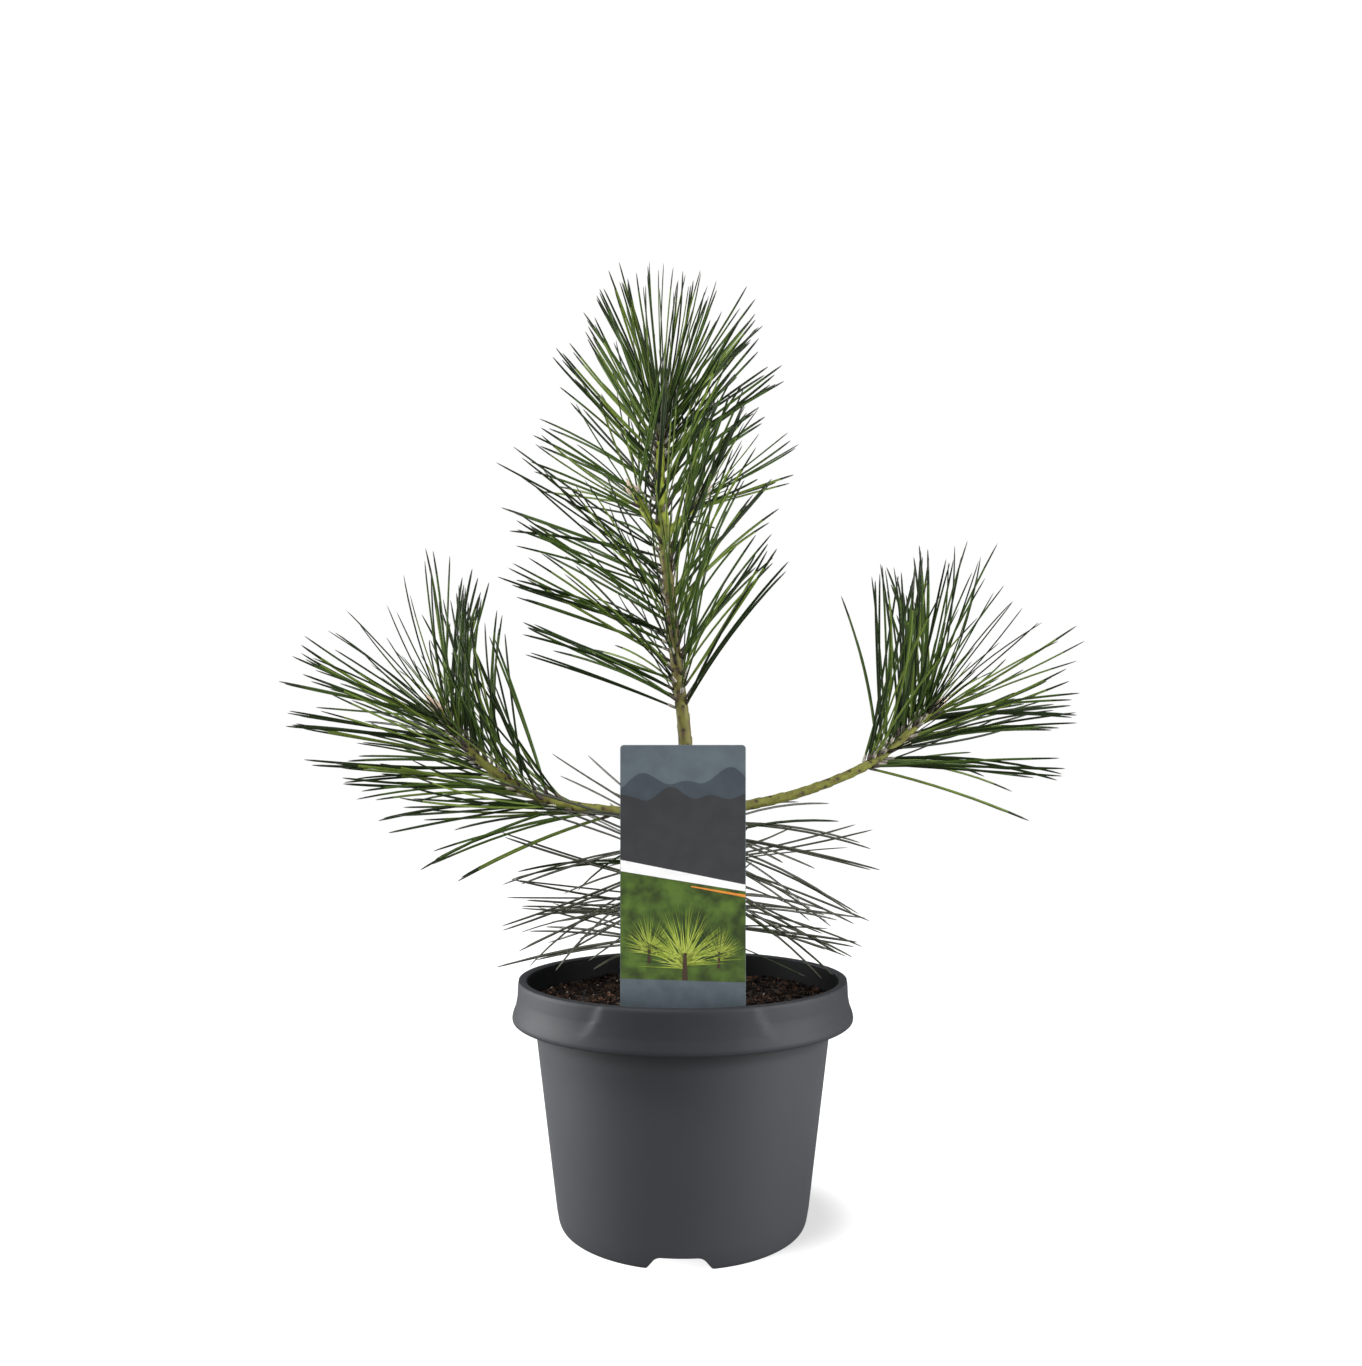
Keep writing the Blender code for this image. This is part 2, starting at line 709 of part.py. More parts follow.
def main():
    clear_scene()
    parts = new_collection("potted_pine")
    tools = new_collection("cutters")
    finishes = {
        "plastic": new_material("pot_plastic", (0.060, 0.063, 0.068), 0.45),
        "compost": new_material("compost", (0.030, 0.018, 0.012), 0.95),
        "label": new_material("label_card", (0.080, 0.110, 0.130), 0.30),
        "bark": new_material("bark", (0.200, 0.210, 0.070), 0.80),
        "needle": new_material("needles", (0.040, 0.090, 0.030), 0.45),
    }

    make_pot(parts, tools)
    compost = make_compost(parts)
    make_card("label", 0.0, parts)
    slot = make_card("label_slot_tool", GAP, tools)
    make_cutter(slot)
    cut(compost, slot)

    space = Space()
    _, stations = make_limb("trunk", TRUNK, 0.0, 1.0, parts, bud=True)
    space.take(*limb_line(stations), "trunk")
    wider = [(point, (radius + GAP) * CLEARANCE_SCALE) for point, radius in stations]
    clearance = tube("trunk_clearance_tool", wider, tools)
    make_cutter(clearance)
    for name, limb in (("bough_left", BOUGH_LEFT), ("bough_right", BOUGH_RIGHT)):
        bough, stations = make_limb(name, limb, 0.0, BOUGH_TIPS["needles_" + name], parts)
        cut(bough, clearance)
        space.take(*limb_line(stations), name)
    for mass in MASSES:
        space.take(*limb_line(mass_stem(mass)), mass.name)
    for mass in MASSES:
        make_mass(mass, space, clearance, parts)

    kinds = {"pot": "plastic", "compost": "compost", "label": "label", "trunk": "bark",
             "bough_left": "bark", "bough_right": "bark"}
    for thing in parts.objects:
        thing.data.materials.clear()
        thing.data.materials.append(finishes[kinds.get(thing.name, "needle")])
        thing.data.shade_smooth()
        thing.data.set_sharp_from_angle(angle=SHARP_EDGE)


main()
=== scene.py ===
"""Potted pine: bark, needles, compost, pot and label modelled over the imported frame."""
import math
import random
from collections import namedtuple

import bmesh
import bpy
import numpy as np
from mathutils import Matrix, Vector


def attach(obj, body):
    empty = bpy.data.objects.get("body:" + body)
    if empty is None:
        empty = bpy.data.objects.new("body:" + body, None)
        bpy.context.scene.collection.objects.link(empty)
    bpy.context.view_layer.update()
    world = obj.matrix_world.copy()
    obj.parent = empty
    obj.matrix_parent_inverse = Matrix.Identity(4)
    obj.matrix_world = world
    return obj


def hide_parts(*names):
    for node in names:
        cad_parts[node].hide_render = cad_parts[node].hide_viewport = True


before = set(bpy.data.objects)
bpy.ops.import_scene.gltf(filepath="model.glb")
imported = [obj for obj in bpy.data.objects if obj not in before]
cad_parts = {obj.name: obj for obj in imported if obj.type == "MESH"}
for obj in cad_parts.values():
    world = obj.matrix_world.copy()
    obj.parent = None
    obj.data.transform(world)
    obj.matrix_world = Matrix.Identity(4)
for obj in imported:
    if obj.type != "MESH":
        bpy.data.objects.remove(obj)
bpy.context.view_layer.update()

bl_info = {
    "name": "Potted Pine",
    "version": (1, 0, 0),
    "blender": (4, 5, 0),
    "location": "View3D > Sidebar > Potted Pine",
    "description": "Models a young pine in its nursery pot, piece by piece",
    "category": "Object",
}

MM = 0.001
GOLDEN_ANGLE = math.radians(137.508)
WHITE = (1.0, 1.0, 1.0, 1.0)

# Limbs: points of the middle line with the radius there, (x, y, z, radius) in millimetres
TRUNK = (
    (0.0, 0.0, 119.3, 5.6),
    (1.0, 0.0, 168.0, 5.2),
    (1.6, 0.0, 217.0, 5.0),
    (1.4, 0.0, 266.0, 4.1),
    (-3.8, 0.0, 312.0, 3.6),
    (-8.0, 0.0, 354.0, 3.3),
    (-11.5, 0.0, 393.0, 3.8),
    (-13.7, 0.0, 434.0, 2.8),
    (-11.8, 0.0, 474.0, 2.4),
)
BOUGH_LEFT = (
    (0.5, -1.0, 221.0, 3.4),
    (-37.0, -4.0, 224.0, 3.1),
    (-80.5, -8.0, 231.5, 2.9),
    (-116.5, -11.0, 253.0, 2.6),
    (-142.5, -12.5, 283.0, 2.2),
)
BOUGH_RIGHT = (
    (2.0, 1.0, 222.5, 3.4),
    (37.0, 4.0, 227.5, 3.1),
    (77.0, 7.0, 237.5, 2.8),
    (117.0, 10.0, 255.5, 2.6),
    (153.5, 12.5, 286.5, 2.2),
)
SHOOT_LEFT = (
    (-11.5, 0.0, 390.0, 2.4),
    (-20.0, -2.0, 399.0, 2.3),
    (-29.5, -3.5, 416.0, 2.0),
)
SHOOT_RIGHT = (
    (-11.5, 0.0, 390.0, 2.4),
    (-2.5, 3.0, 399.0, 2.2),
    (7.0, 6.0, 410.0, 2.1),
    (13.5, 7.5, 421.0, 1.9),
)
BOUGHS = (BOUGH_LEFT, BOUGH_RIGHT)
FLARE = 2.2 * MM
FLARE_HEIGHT = 5.0 * MM
LIMB_AHEAD = 0.02
LIMB_SPANS = 40

# A mass of needles: the limb it grows on, the stretch of the limb (its heights in millimetres on
# the trunk, shares of its length elsewhere), the number of pairs, then at the first and last pair
# the angle to the limb in degrees, the length in millimetres, the turn along a needle in degrees
# and how far its direction is lifted, the drift of its sides to the right, and the spread of the
# angles and the wave of the turns in degrees
Mass = namedtuple(
    "Mass", "name limb first last pairs angle length turn lift drift spread wave seed")
MASSES = (
    Mass("needles_bough_left", BOUGH_LEFT, 0.270, 0.990, 132,
         (37, 45), (99, 95), (12, 0), (0.34, 0.04), 0.0, 13, 14, 21),
    Mass("needles_bough_right", BOUGH_RIGHT, 0.700, 0.990, 130,
         (42, 42), (114, 94), (9, 4), (0.18, 0.22), 0.0, 10, 13, 42),
    Mass("needles_shoot_left", SHOOT_LEFT, 0.300, 0.980, 24,
         (54, 34), (86, 83), (-2, -4), (-0.14, -0.08), 0.0, 9, 10, 27),
    Mass("needles_shoot_right", SHOOT_RIGHT, 0.350, 0.980, 20,
         (40, 24), (74, 67), (-2, -4), (-0.12, -0.08), 0.0, 9, 10, 28),
    Mass("needles_leader_tip", TRUNK, 436.0, 475.0, 72,
         (47, 24), (92, 87), (-2, -4), (0.0, 0.0), 0.12, 10, 8, 23),
    Mass("needles_leader_upper", TRUNK, 398.0, 436.0, 36,
         (51, 43), (87, 85), (2, -2), (0.0, 0.0), -0.08, 12, 12, 34),
    Mass("needles_leader_middle", TRUNK, 331.0, 385.0, 46,
         (56, 56), (106, 108), (4, 4), (0.05, -0.1), -0.36, 13, 13, 25),
    Mass("needles_leader_low", TRUNK, 285.0, 331.0, 35,
         (60, 57), (104, 110), (4, 4), (-0.08, 0.05), -0.33, 14, 15, 26),
    Mass("needles_trunk_foot", TRUNK, 146.0, 217.0, 86,
         (99, 80), (102, 114), (8, 7), (0.0, 0.0), 0.0, 24, 20, 31),
)
SKIRT = "needles_trunk_foot"

# The rule for all: how late along a mass its angle closes, how far a pair strays round the limb
# in radians, the shares of the length for a pair and for each of its needles, half the opening of
# a pair, its depth in the limb, and its curl to the side
CLOSING = 2.0
ROUND_JITTER = 0.25
LENGTH_RANGE = (0.88, 1.02)
PAIR_RANGE = (0.96, 1.0)
PAIR_FORK = (math.radians(2.0), math.radians(6.5))
OLD_FORK = (math.radians(3.0), math.radians(11.0))
ROOT_DEPTH = 0.92
SIDE_CURL = 0.7
PAIR_CURL = 0.015

# Where limbs differ: the left bough's pairs crowd towards its tip, the right bough's upper ones
# are longer and wider, those before and behind the trunk stand closer to it in the leader, and
# those on its right side lean in
CROWDING = 0.8
UPPER_LONGER = 0.15
UPPER_WIDER = 8.0
FRONT_CLOSER = 0.25
LEANING = 1.6

# Pairs left out: those that point into the limb or lie too flat, and those that face the front,
# the top or the underside where the limb shows between its needles
LEAST_OUT = 0.12
LEAST_RISE = 0.22
FRONT_OPEN = 0.62
UPPER_OPEN = 0.45
UNDER_OPEN = -0.30
BARE_ABOVE = 0.12
THIN_ABOVE = 0.5
# Masses thinned at the front: from and to which share of the stretch, one pair kept of so many
OPEN_MASSES = {
    "needles_bough_left": (0.0, 0.7, 4),
    "needles_bough_right": (0.0, 0.7, 4),
    "needles_shoot_left": (0.0, 0.7, 4),
    "needles_leader_tip": (0.0, 0.25, 4),
    "needles_leader_upper": (0.0, 1.0, 6),
    "needles_leader_middle": (0.35, 1.0, 5),
}
# How far a needle may reach to the sides and in depth, and its clearance, more over the compost
REACH = 240.0 * MM
DEPTH = 101.0 * MM
ROOM = 0.3 * MM
SOIL_ROOM = 1.5 * MM

# Needles: shares of the length where a blade has a row of corners, the corners across and up in
# widths, the width along the blade, and the sheath's rings
NEEDLE_SHARES = (0.0, 0.05, 0.15, 0.27, 0.39, 0.51, 0.63, 0.75, 0.86, 0.95, 0.985, 1.0)
BLADE = ((-0.50, 0.10), (-0.34, 0.36), (0.00, 0.46), (0.34, 0.36), (0.50, 0.10), (0.00, -0.08))
TAPER = ((0.0, 0.75), (0.05, 0.92), (0.15, 1.0), (0.75, 1.0),
         (0.86, 0.92), (0.95, 0.72), (0.985, 0.42), (1.0, 0.12))
SHEATH = 6.0 * MM
SHEATH_RINGS = ((-0.10, 0.55), (0.25, 0.85), (0.75, 0.80), (1.0, 0.62))

# Kinds of needle, the order of their materials; their shares in a mass and in the skirt, the
# range of their widths, and the shares of pale and dark sheaths
LIGHT, MIDDLE, DARK, OLD, TIP = range(5)
GREEN_SHARES = (0.22, 0.46, 0.32)
SKIRT_SHARES = (0.75, 0.25)
WIDTH_RANGE = (0.85, 1.1)
SHEATH_SHARES = (0.4, 0.6)

# Pot; the collar's half section is (radius, height) in millimetres
POT_TURN = math.radians(-1.5)
FOOT_RADIUS = 69.2 * MM
WALL_TOP_RADIUS = 84.5 * MM
WALL_TOP = 111.0 * MM
POT_HEIGHT = 130.4 * MM
POT_WALL = 1.5 * MM
FOOT_HEIGHT = 6.0 * MM
FLOOR_TOP = 8.0 * MM
LIP_RADIUS = 88.9 * MM
COLLAR_RADIUS = 96.0 * MM
COLLAR_FOOT = 108.0 * MM
INSIDE_RADIUS = 85.0 * MM
COLLAR = (
    (86.6, 115.5), (87.6, 122.0), (88.4, 128.6), (89.3, 130.4), (94.3, 130.4), (94.9, 128.8),
    (95.1, 122.0), (95.5, 116.0), (96.2, 112.6), (96.6, 110.6), (96.4, 109.0), (95.4, 108.2),
    (94.5, 109.0), (93.2, 114.0), (92.5, 122.5), (91.3, 125.5), (90.3, 123.0), (88.7, 115.0),
)
PANEL_EDGES = (math.radians(24.0), math.radians(116.0))
PANEL_FOOT = 115.6 * MM
PANEL_CORNER = 8.0 * MM
PANEL_SLANT = 0.35
PANEL_SLOPE = (-2.2 * MM, 2.8 * MM)
# The collar's face: from which height it is pressed, between which radii it starts, and between
# which heights its step behind the panels fades in
PRESS_FOOT = 110.5 * MM
FACE_RADII = (93.4 * MM, 94.2 * MM)
STEP_HEIGHTS = (113.0 * MM, 118.0 * MM)
HOLE_CIRCLE = 46.0 * MM
HOLE_RADIUS = 4.0 * MM
# Places of the pot's second and third materials, the painted shade inside it and on its collar
SHADED_INSIDE, SHADED_COLLAR = 1, 2

# Compost and its crumbs: their spread and their distance from the trunk, number, sizes in
# millimetres, then name, colour (none for the compost's own), roughness and share of each kind
SOIL_TOP = 119.0 * MM
SOIL_RIM = 86.3 * MM
CRUMB_RIM = 84.6 * MM
CRUMB_START = 8.5 * MM
CRUMB_COUNT = 5200
CRUMB_SIZES = (1.0, 1.3, 1.6, 1.9, 2.3, 2.8, 3.8)
CRUMBS = (
    ("crumb_black", None, 0.95, 0.58),
    ("crumb_brown", (0.030, 0.017, 0.011), 0.92, 0.28),
    ("crumb_red", (0.075, 0.036, 0.022), 0.90, 0.08),
    ("crumb_pale", (0.30, 0.25, 0.20), 0.90, 0.06),
)
PALE = 3
PALE_SIZE = 0.55

# Label, its print measured in millimetres across from its middle and down from its top edge
LABEL_WIDTH = 63.0 * MM
LABEL_THICKNESS = 0.8 * MM
LABEL_TOP = 258.5 * MM
LABEL_FRONT = -89.9 * MM
LABEL_LEAN = math.radians(6.6)
LABEL_CORNER = 1.8 * MM
LABEL_BODY = 139.0 * MM
LABEL_TAIL = 34.0 * MM
PRINT_HALF = 31.3
# The print's inks in the order of their materials, with the colours that no setting holds
INKS = {
    "sky": None,
    "hill_far": (0.052, 0.066, 0.080),
    "ink": None,
    "meadow": None,
    "meadow_light": (0.27, 0.36, 0.035),
    "twig": (0.055, 0.030, 0.016),
    "band": (0.92, 0.92, 0.91),
    "stripe": None,
    "meadow_dark": (0.022, 0.050, 0.010),
    "needle_light": (0.42, 0.50, 0.08),
}
# A sprig's fans of needles: ink, number, least and greatest length in millimetres
FANS = (
    ("meadow_dark", 46, 31.0, 38.0),
    ("meadow_light", 44, 25.0, 34.0),
    ("needle_light", 38, 16.0, 27.0),
)

# Bark: the mesh's step along a limb, the scars' spacing, a ridge's half width and its length in
# millimetres, a bough's collar at the trunk with its length and fade, and in metres the heights
# where the trunk turns green and of the dark whorl with its half height
BARK_STEP = 0.75 * MM
SCAR_SPACING = 1.75 * MM
RIDGE_WIDTH = 1.15 * MM
RIDGE_LENGTH = 6.5
BOUGH_COLLAR = 1.3 * MM
COLLAR_LENGTH = 4.5 * MM
COLLAR_FADE = 4.0 * MM
GREEN_FROM = (0.372, 0.396)
WHORL = 0.392
WHORL_HALF = 0.006
# Buds: name, limb, length and radius in millimetres, and node; scales to a bud, share that fray
BUDS = (
    ("bud_left", BOUGH_LEFT, 13.5, 2.7, "needles_bough_left"),
    ("bud_right", BOUGH_RIGHT, 13.0, 2.7, "needles_bough_right"),
    ("bud_leader", TRUNK, 13.0, 2.8, "trunk"),
    ("bud_shoot_left", SHOOT_LEFT, 11.0, 2.4, "needles_shoot_left"),
    ("bud_shoot_right", SHOOT_RIGHT, 10.0, 2.2, "needles_shoot_right"),
)
BUD_SCALES = 46
FRAYED = 0.22

# Stage: the middle and radii of the soft shadow on the floor, partly painted as a dip in the
# floor's glow, and the glow there, then each lamp's name, place, size and power, the point
# they face, and the camera
SHADOW_MIDDLE = (0.034, 0.002, 0.0)
SHADOW_RADII = (0.040, 0.078)
SHADOW_GLOW = 0.54
WORLD_LIGHT = 0.24
LAMPS = (
    ("key", (-0.60, -0.70, 1.45), 0.5, 23.0),
    ("right", (1.00, -0.38, 0.26), 0.9, 27.0),
    ("left", (-1.15, 0.12, 0.26), 0.7, 27.0),
)
LAMP_TARGET = (0.0, 0.0, 0.25)
CAMERA_PLACE = (-0.001, -0.591, 0.232)
CAMERA_TILT = math.radians(96.58)


def length_value(name, description, default):
    return bpy.props.FloatProperty(name=name, description=description, default=default,
                                   min=0.0, subtype="DISTANCE", unit="LENGTH", precision=4)


def colour_value(name, description, default):
    return bpy.props.FloatVectorProperty(name=name, description=description, default=default,
                                         size=3, min=0.0, max=1.0, subtype="COLOR")


class PineNeedleSettings(bpy.types.PropertyGroup):
    """Sizes and colours of the needles."""
    width: length_value("Width", "Width of a needle", 1.5 * MM)
    skirt_width: length_value("Old width", "Width of an older needle low on the trunk", 1.3 * MM)
    light: colour_value("Light", "Colour of the lightest needles", (0.108, 0.158, 0.026))
    middle: colour_value("Middle", "Colour of most needles", (0.041, 0.074, 0.012))
    dark: colour_value("Dark", "Colour of the darkest needles", (0.011, 0.021, 0.004))
    old: colour_value("Old", "Colour of older needles", (0.038, 0.042, 0.025))
    tip: colour_value("Tip", "Colour of the dry tips", (0.014, 0.015, 0.008))
    sheath: colour_value("Sheath", "Colour of the papery sheaths", (0.34, 0.31, 0.26))


class PineBarkSettings(bpy.types.PropertyGroup):
    """Sizes and colours of the bark."""
    relief: length_value("Relief", "Height of the ridges below the needles", 0.42 * MM)
    green: colour_value("Green", "Colour of young bark", (0.250, 0.300, 0.033))
    brown: colour_value("Brown", "Colour of older bark", (0.088, 0.060, 0.028))
    scar: colour_value("Scar", "Colour of the scars", (0.022, 0.015, 0.010))
    bud: colour_value("Bud", "Colour of the bud scales", (0.60, 0.46, 0.36))


class PinePotSettings(bpy.types.PropertyGroup):
    """Sizes and colours of the pot and its compost."""
    panel_depth: length_value("Panel depth", "Depth of the side panels in the collar", 1.2 * MM)
    rear_step: length_value("Rear step", "Step in of the lip behind the panels", 2.3 * MM)
    plastic: colour_value("Plastic", "Colour of the pot", (0.031, 0.0330, 0.0385))
    compost: colour_value("Compost", "Colour of the compost", (0.0085, 0.0055, 0.0042))


class PineLabelSettings(bpy.types.PropertyGroup):
    """Colours printed on the label."""
    sky: colour_value("Sky", "Colour of the sky", (0.098, 0.124, 0.142))
    ink: colour_value("Ink", "Colour of the plain field and the hills", (0.036, 0.037, 0.040))
    meadow: colour_value("Meadow", "Colour of the green field", (0.055, 0.100, 0.012))
    stripe: colour_value("Stripe", "Colour of the thin stripe", (0.72, 0.26, 0.035))


class PineStageSettings(bpy.types.PropertyGroup):
    """Size of the stage and the view."""
    floor: length_value("Floor", "Half width of the floor", 6.0)
    lens: bpy.props.FloatProperty(name="Lens", description="Focal length in millimetres",
                                  default=26.30, min=10.0, max=200.0)


SETTINGS = {
    "pine_needles": PineNeedleSettings,
    "pine_bark": PineBarkSettings,
    "pine_pot": PinePotSettings,
    "pine_label": PineLabelSettings,
    "pine_stage": PineStageSettings,
}


# Limbs and the growth rule

def unit(vector):
    return vector / np.linalg.norm(vector)


def between(ends, share):
    return ends[0] + (ends[1] - ends[0]) * share


def limb_at(limb, t):
    """Middle point and radius of a limb, in metres, at t from 0 to 1 on a smooth curve."""
    known = [np.array(point) * MM for point in limb]
    known = [2 * known[0] - known[1]] + known + [2 * known[-1] - known[-2]]
    spans = len(known) - 3
    place = min(max(t, 0.0), 1.0) * spans
    span = min(int(place), spans - 1)
    u = place - span
    a, b, c, d = known[span:span + 4]
    at = 0.5 * (2 * b + (c - a) * u + (2 * a - 5 * b + 4 * c - d) * u ** 2
                + (3 * b - a - 3 * c + d) * u ** 3)
    radius = at[3]
    if limb is TRUNK:
        radius += FLARE * math.exp((known[1][2] - at[2]) / FLARE_HEIGHT)
    return at[:3], radius


def limb_direction(limb, t):
    ahead = limb_at(limb, min(t + LIMB_AHEAD, 1.0))[0]
    behind = limb_at(limb, max(t - LIMB_AHEAD, 0.0))[0]
    return unit(ahead - behind)


def share_at(limb, height):
    """Share of a rising limb's length at a height in millimetres."""
    low, high = 0.0, 1.0
    for _ in range(30):
        middle = (low + high) / 2
        if limb_at(limb, middle)[0][2] < height * MM:
            low = middle
        else:
            high = middle
    return low


def stretch(mass):
    if mass.limb is TRUNK:
        return share_at(mass.limb, mass.first), share_at(mass.limb, mass.last)
    return mass.first, mass.last


def needle_line(root, start, bend, length, turn, curl):
    """Points of a needle that turns towards bend and curls a little to one side."""
    bend = unit(bend - np.dot(bend, start) * start)
    side = np.cross(start, bend)
    points = []
    for share in NEEDLE_SHARES:
        swing = turn * share
        reach = math.sin(swing) * length / turn
        drop = (1 - math.cos(swing)) * length / turn
        sway = curl * length * share ** 2
        points.append(root + start * reach + bend * drop + side * sway)
    return np.array(points)


Pair = namedtuple("Pair", "root start across lines")


def is_left_out(mass, index, share, start, out):
    """True for a pair that points into its limb, lies too flat or hides a limb that shows."""
    on_bough = mass.limb in BOUGHS
    if np.dot(start, out) < LEAST_OUT:
        return True
    if not on_bough and mass.name != SKIRT and start[2] < LEAST_RISE:
        return True
    open_from, open_to, kept = OPEN_MASSES.get(mass.name, (0.0, 0.0, 1))
    if open_from <= share < open_to and -out[1] > FRONT_OPEN and index % kept:
        return True
    if on_bough and share < THIN_ABOVE and out[2] > UPPER_OPEN and index % 2:
        return True
    if mass.limb is BOUGH_LEFT:
        return share < BARE_ABOVE and out[2] > 0
    return mass.limb is BOUGH_RIGHT and out[2] < UNDER_OPEN and index % 5 in (1, 3)


def grow_pairs(mass):
    """Pairs of needles of a mass by its seeded rule."""
    rng = random.Random(mass.seed)
    first, last = stretch(mass)
    for index in range(mass.pairs):
        share = (index + 0.5) / mass.pairs
        t = between((first, last), share ** (CROWDING if mass.limb is BOUGH_LEFT else 1.0))
        point, radius = limb_at(mass.limb, t)
        along = limb_direction(mass.limb, t)
        side = unit(np.cross(along, (0.0, 1.0, 0.0)))
        other = np.cross(along, side)
        azimuth = index * GOLDEN_ANGLE + rng.uniform(-ROUND_JITTER, ROUND_JITTER)
        out = side * math.cos(azimuth) + other * math.sin(azimuth)
        angle = between(mass.angle, share ** CLOSING) + rng.uniform(-mass.spread, mass.spread)
        size = between(mass.length, share) * rng.uniform(*LENGTH_RANGE) * MM
        if mass.limb is TRUNK and mass.name != SKIRT:
            angle *= 1 - FRONT_CLOSER * abs(out[1])
        if mass.limb is BOUGH_RIGHT:
            angle += UPPER_WIDER * max(out[2], 0.0) * (1 - share)
            size *= 1 + UPPER_LONGER * max(out[2], 0.0)
        start = along * math.cos(math.radians(angle)) + out * math.sin(math.radians(angle))
        drift = mass.drift * (1 - abs(out[1])) * (LEANING if out[0] > 0 > mass.drift else 1.0)
        start = unit(start + (drift, 0.0, between(mass.lift, share)))
        turn = math.radians(between(mass.turn, share) + rng.uniform(-mass.wave, mass.wave))
        across = unit(np.cross(start, out + 0.01))
        fork = rng.uniform(*(OLD_FORK if mass.name == SKIRT else PAIR_FORK))
        curl = rng.uniform(-SIDE_CURL, SIDE_CURL) * math.radians(mass.wave)
        root = point + out * radius * ROOT_DEPTH
        lines = []
        for hand in (-1, 1):
            heading = unit(start + across * hand * math.tan(fork))
            length = size * rng.uniform(*PAIR_RANGE)
            lines.append(needle_line(root, heading, -along, length, turn, curl + hand * PAIR_CURL))
        if not is_left_out(mass, index, share, start, out):
            yield Pair(root, start, across, lines)


def limb_spans():
    """Ends and radii of short spans along all limbs, for needles to keep clear of."""
    starts, ends, radii = [], [], []
    for limb in (TRUNK, *BOUGHS, SHOOT_LEFT, SHOOT_RIGHT):
        places = [limb_at(limb, k / LIMB_SPANS) for k in range(LIMB_SPANS + 1)]
        for (a, radius), (b, _) in zip(places, places[1:]):
            starts.append(a)
            ends.append(b)
            radii.append(radius)
    return np.array(starts), np.array(ends), np.array(radii)


def label_frame(points):
    """Points as seen by the card: across, up from its top edge and out of its face."""
    y = points[:, 1] - LABEL_FRONT
    z = points[:, 2] - LABEL_TOP
    up = z * math.cos(LABEL_LEAN) - y * math.sin(LABEL_LEAN)
    out = y * math.cos(LABEL_LEAN) + z * math.sin(LABEL_LEAN)
    return points[:, 0], up, out


def has_room(line, width, spans):
    """True if a needle keeps within the plant's reach and clear of limbs, pot and label."""
    away = width / 2 + ROOM
    reach = abs(line).max(axis=0)
    if reach[0] > REACH or reach[1] > DEPTH:
        return False
    fine = np.vstack([between((a, b), share) for a, b in zip(line, line[1:])
                      for share in (0.0, 0.5)] + [line[-1]])
    radius = np.hypot(fine[:, 0], fine[:, 1])
    low = fine[:, 2] < POT_HEIGHT + away
    inside = (radius < INSIDE_RADIUS) & (fine[:, 2] > SOIL_TOP + away + SOIL_ROOM)
    if (low & (radius < COLLAR_RADIUS + away) & ~inside).any():
        return False
    across, up, out = label_frame(fine)
    before_card = (abs(across) < LABEL_WIDTH / 2 + away) & (up < away)
    if (before_card & (out < LABEL_THICKNESS / 2 + away)).any():
        return False
    starts, ends, radii = spans
    free = fine[5:]
    ab = ends - starts
    past = free[:, None, :] - starts[None]
    along = np.clip((past * ab).sum(-1) / (ab * ab).sum(-1), 0.0, 1.0)
    distance = np.linalg.norm(past - along[..., None] * ab, axis=-1)
    return bool((distance > radii + away).all())


# Meshes

def select_only(thing):
    bpy.ops.object.select_all(action="DESELECT")
    bpy.context.view_layer.objects.active = thing
    thing.select_set(True)


def edit(thing):
    """Open a mesh in edit mode with all of it selected."""
    select_only(thing)
    bpy.ops.object.mode_set(mode="EDIT")
    bpy.ops.mesh.select_all(action="SELECT")


def leave():
    bpy.ops.object.mode_set(mode="OBJECT")


def face_outwards(thing):
    edit(thing)
    bpy.ops.mesh.normals_make_consistent(inside=False)
    leave()


def apply_modifier(thing, modifier):
    select_only(thing)
    bpy.ops.object.modifier_apply(modifier=modifier.name)


def new_object(name, verts, faces, materials, kinds=None, smooth=True):
    """Object from arrays of corners and faces, with a material for each face."""
    mesh = bpy.data.meshes.new(name)
    mesh.from_pydata([tuple(v) for v in verts], [], [tuple(f) for f in faces])
    for material in materials:
        mesh.materials.append(material)
    if kinds is not None:
        mesh.polygons.foreach_set("material_index", np.asarray(kinds, dtype=np.int32))
    mesh.polygons.foreach_set("use_smooth", np.full(len(mesh.polygons), smooth))
    mesh.update()
    thing = bpy.data.objects.new(name, mesh)
    bpy.context.scene.collection.objects.link(thing)
    return thing


def chain(name, profile):
    """Edge line through (radius, height) points, extruded corner by corner from one vertex."""
    bpy.ops.object.select_all(action="DESELECT")
    bpy.ops.mesh.primitive_plane_add(size=MM, location=(0.0, 0.0, 0.0))
    thing = bpy.context.object
    thing.name = thing.data.name = name
    edit(thing)
    bpy.ops.mesh.merge(type="CENTER")
    bpy.ops.transform.translate(value=(profile[0][0], 0.0, profile[0][1]))
    for (r0, z0), (r1, z1) in zip(profile, profile[1:]):
        step = (r1 - r0, 0.0, z1 - z0)
        bpy.ops.mesh.extrude_vertices_move(TRANSFORM_OT_translate={"value": step})
    return thing


def turned(name, profile, steps):
    """Solid of revolution spun from a profile."""
    thing = chain(name, profile)
    bpy.ops.mesh.select_all(action="SELECT")
    bpy.ops.mesh.spin(steps=steps, angle=2 * math.pi, center=(0.0, 0.0, 0.0), axis=(0.0, 0.0, 1.0))
    bpy.ops.mesh.select_all(action="SELECT")
    bpy.ops.mesh.remove_doubles(threshold=0.02 * MM)
    bpy.ops.mesh.normals_make_consistent(inside=False)
    leave()
    return thing


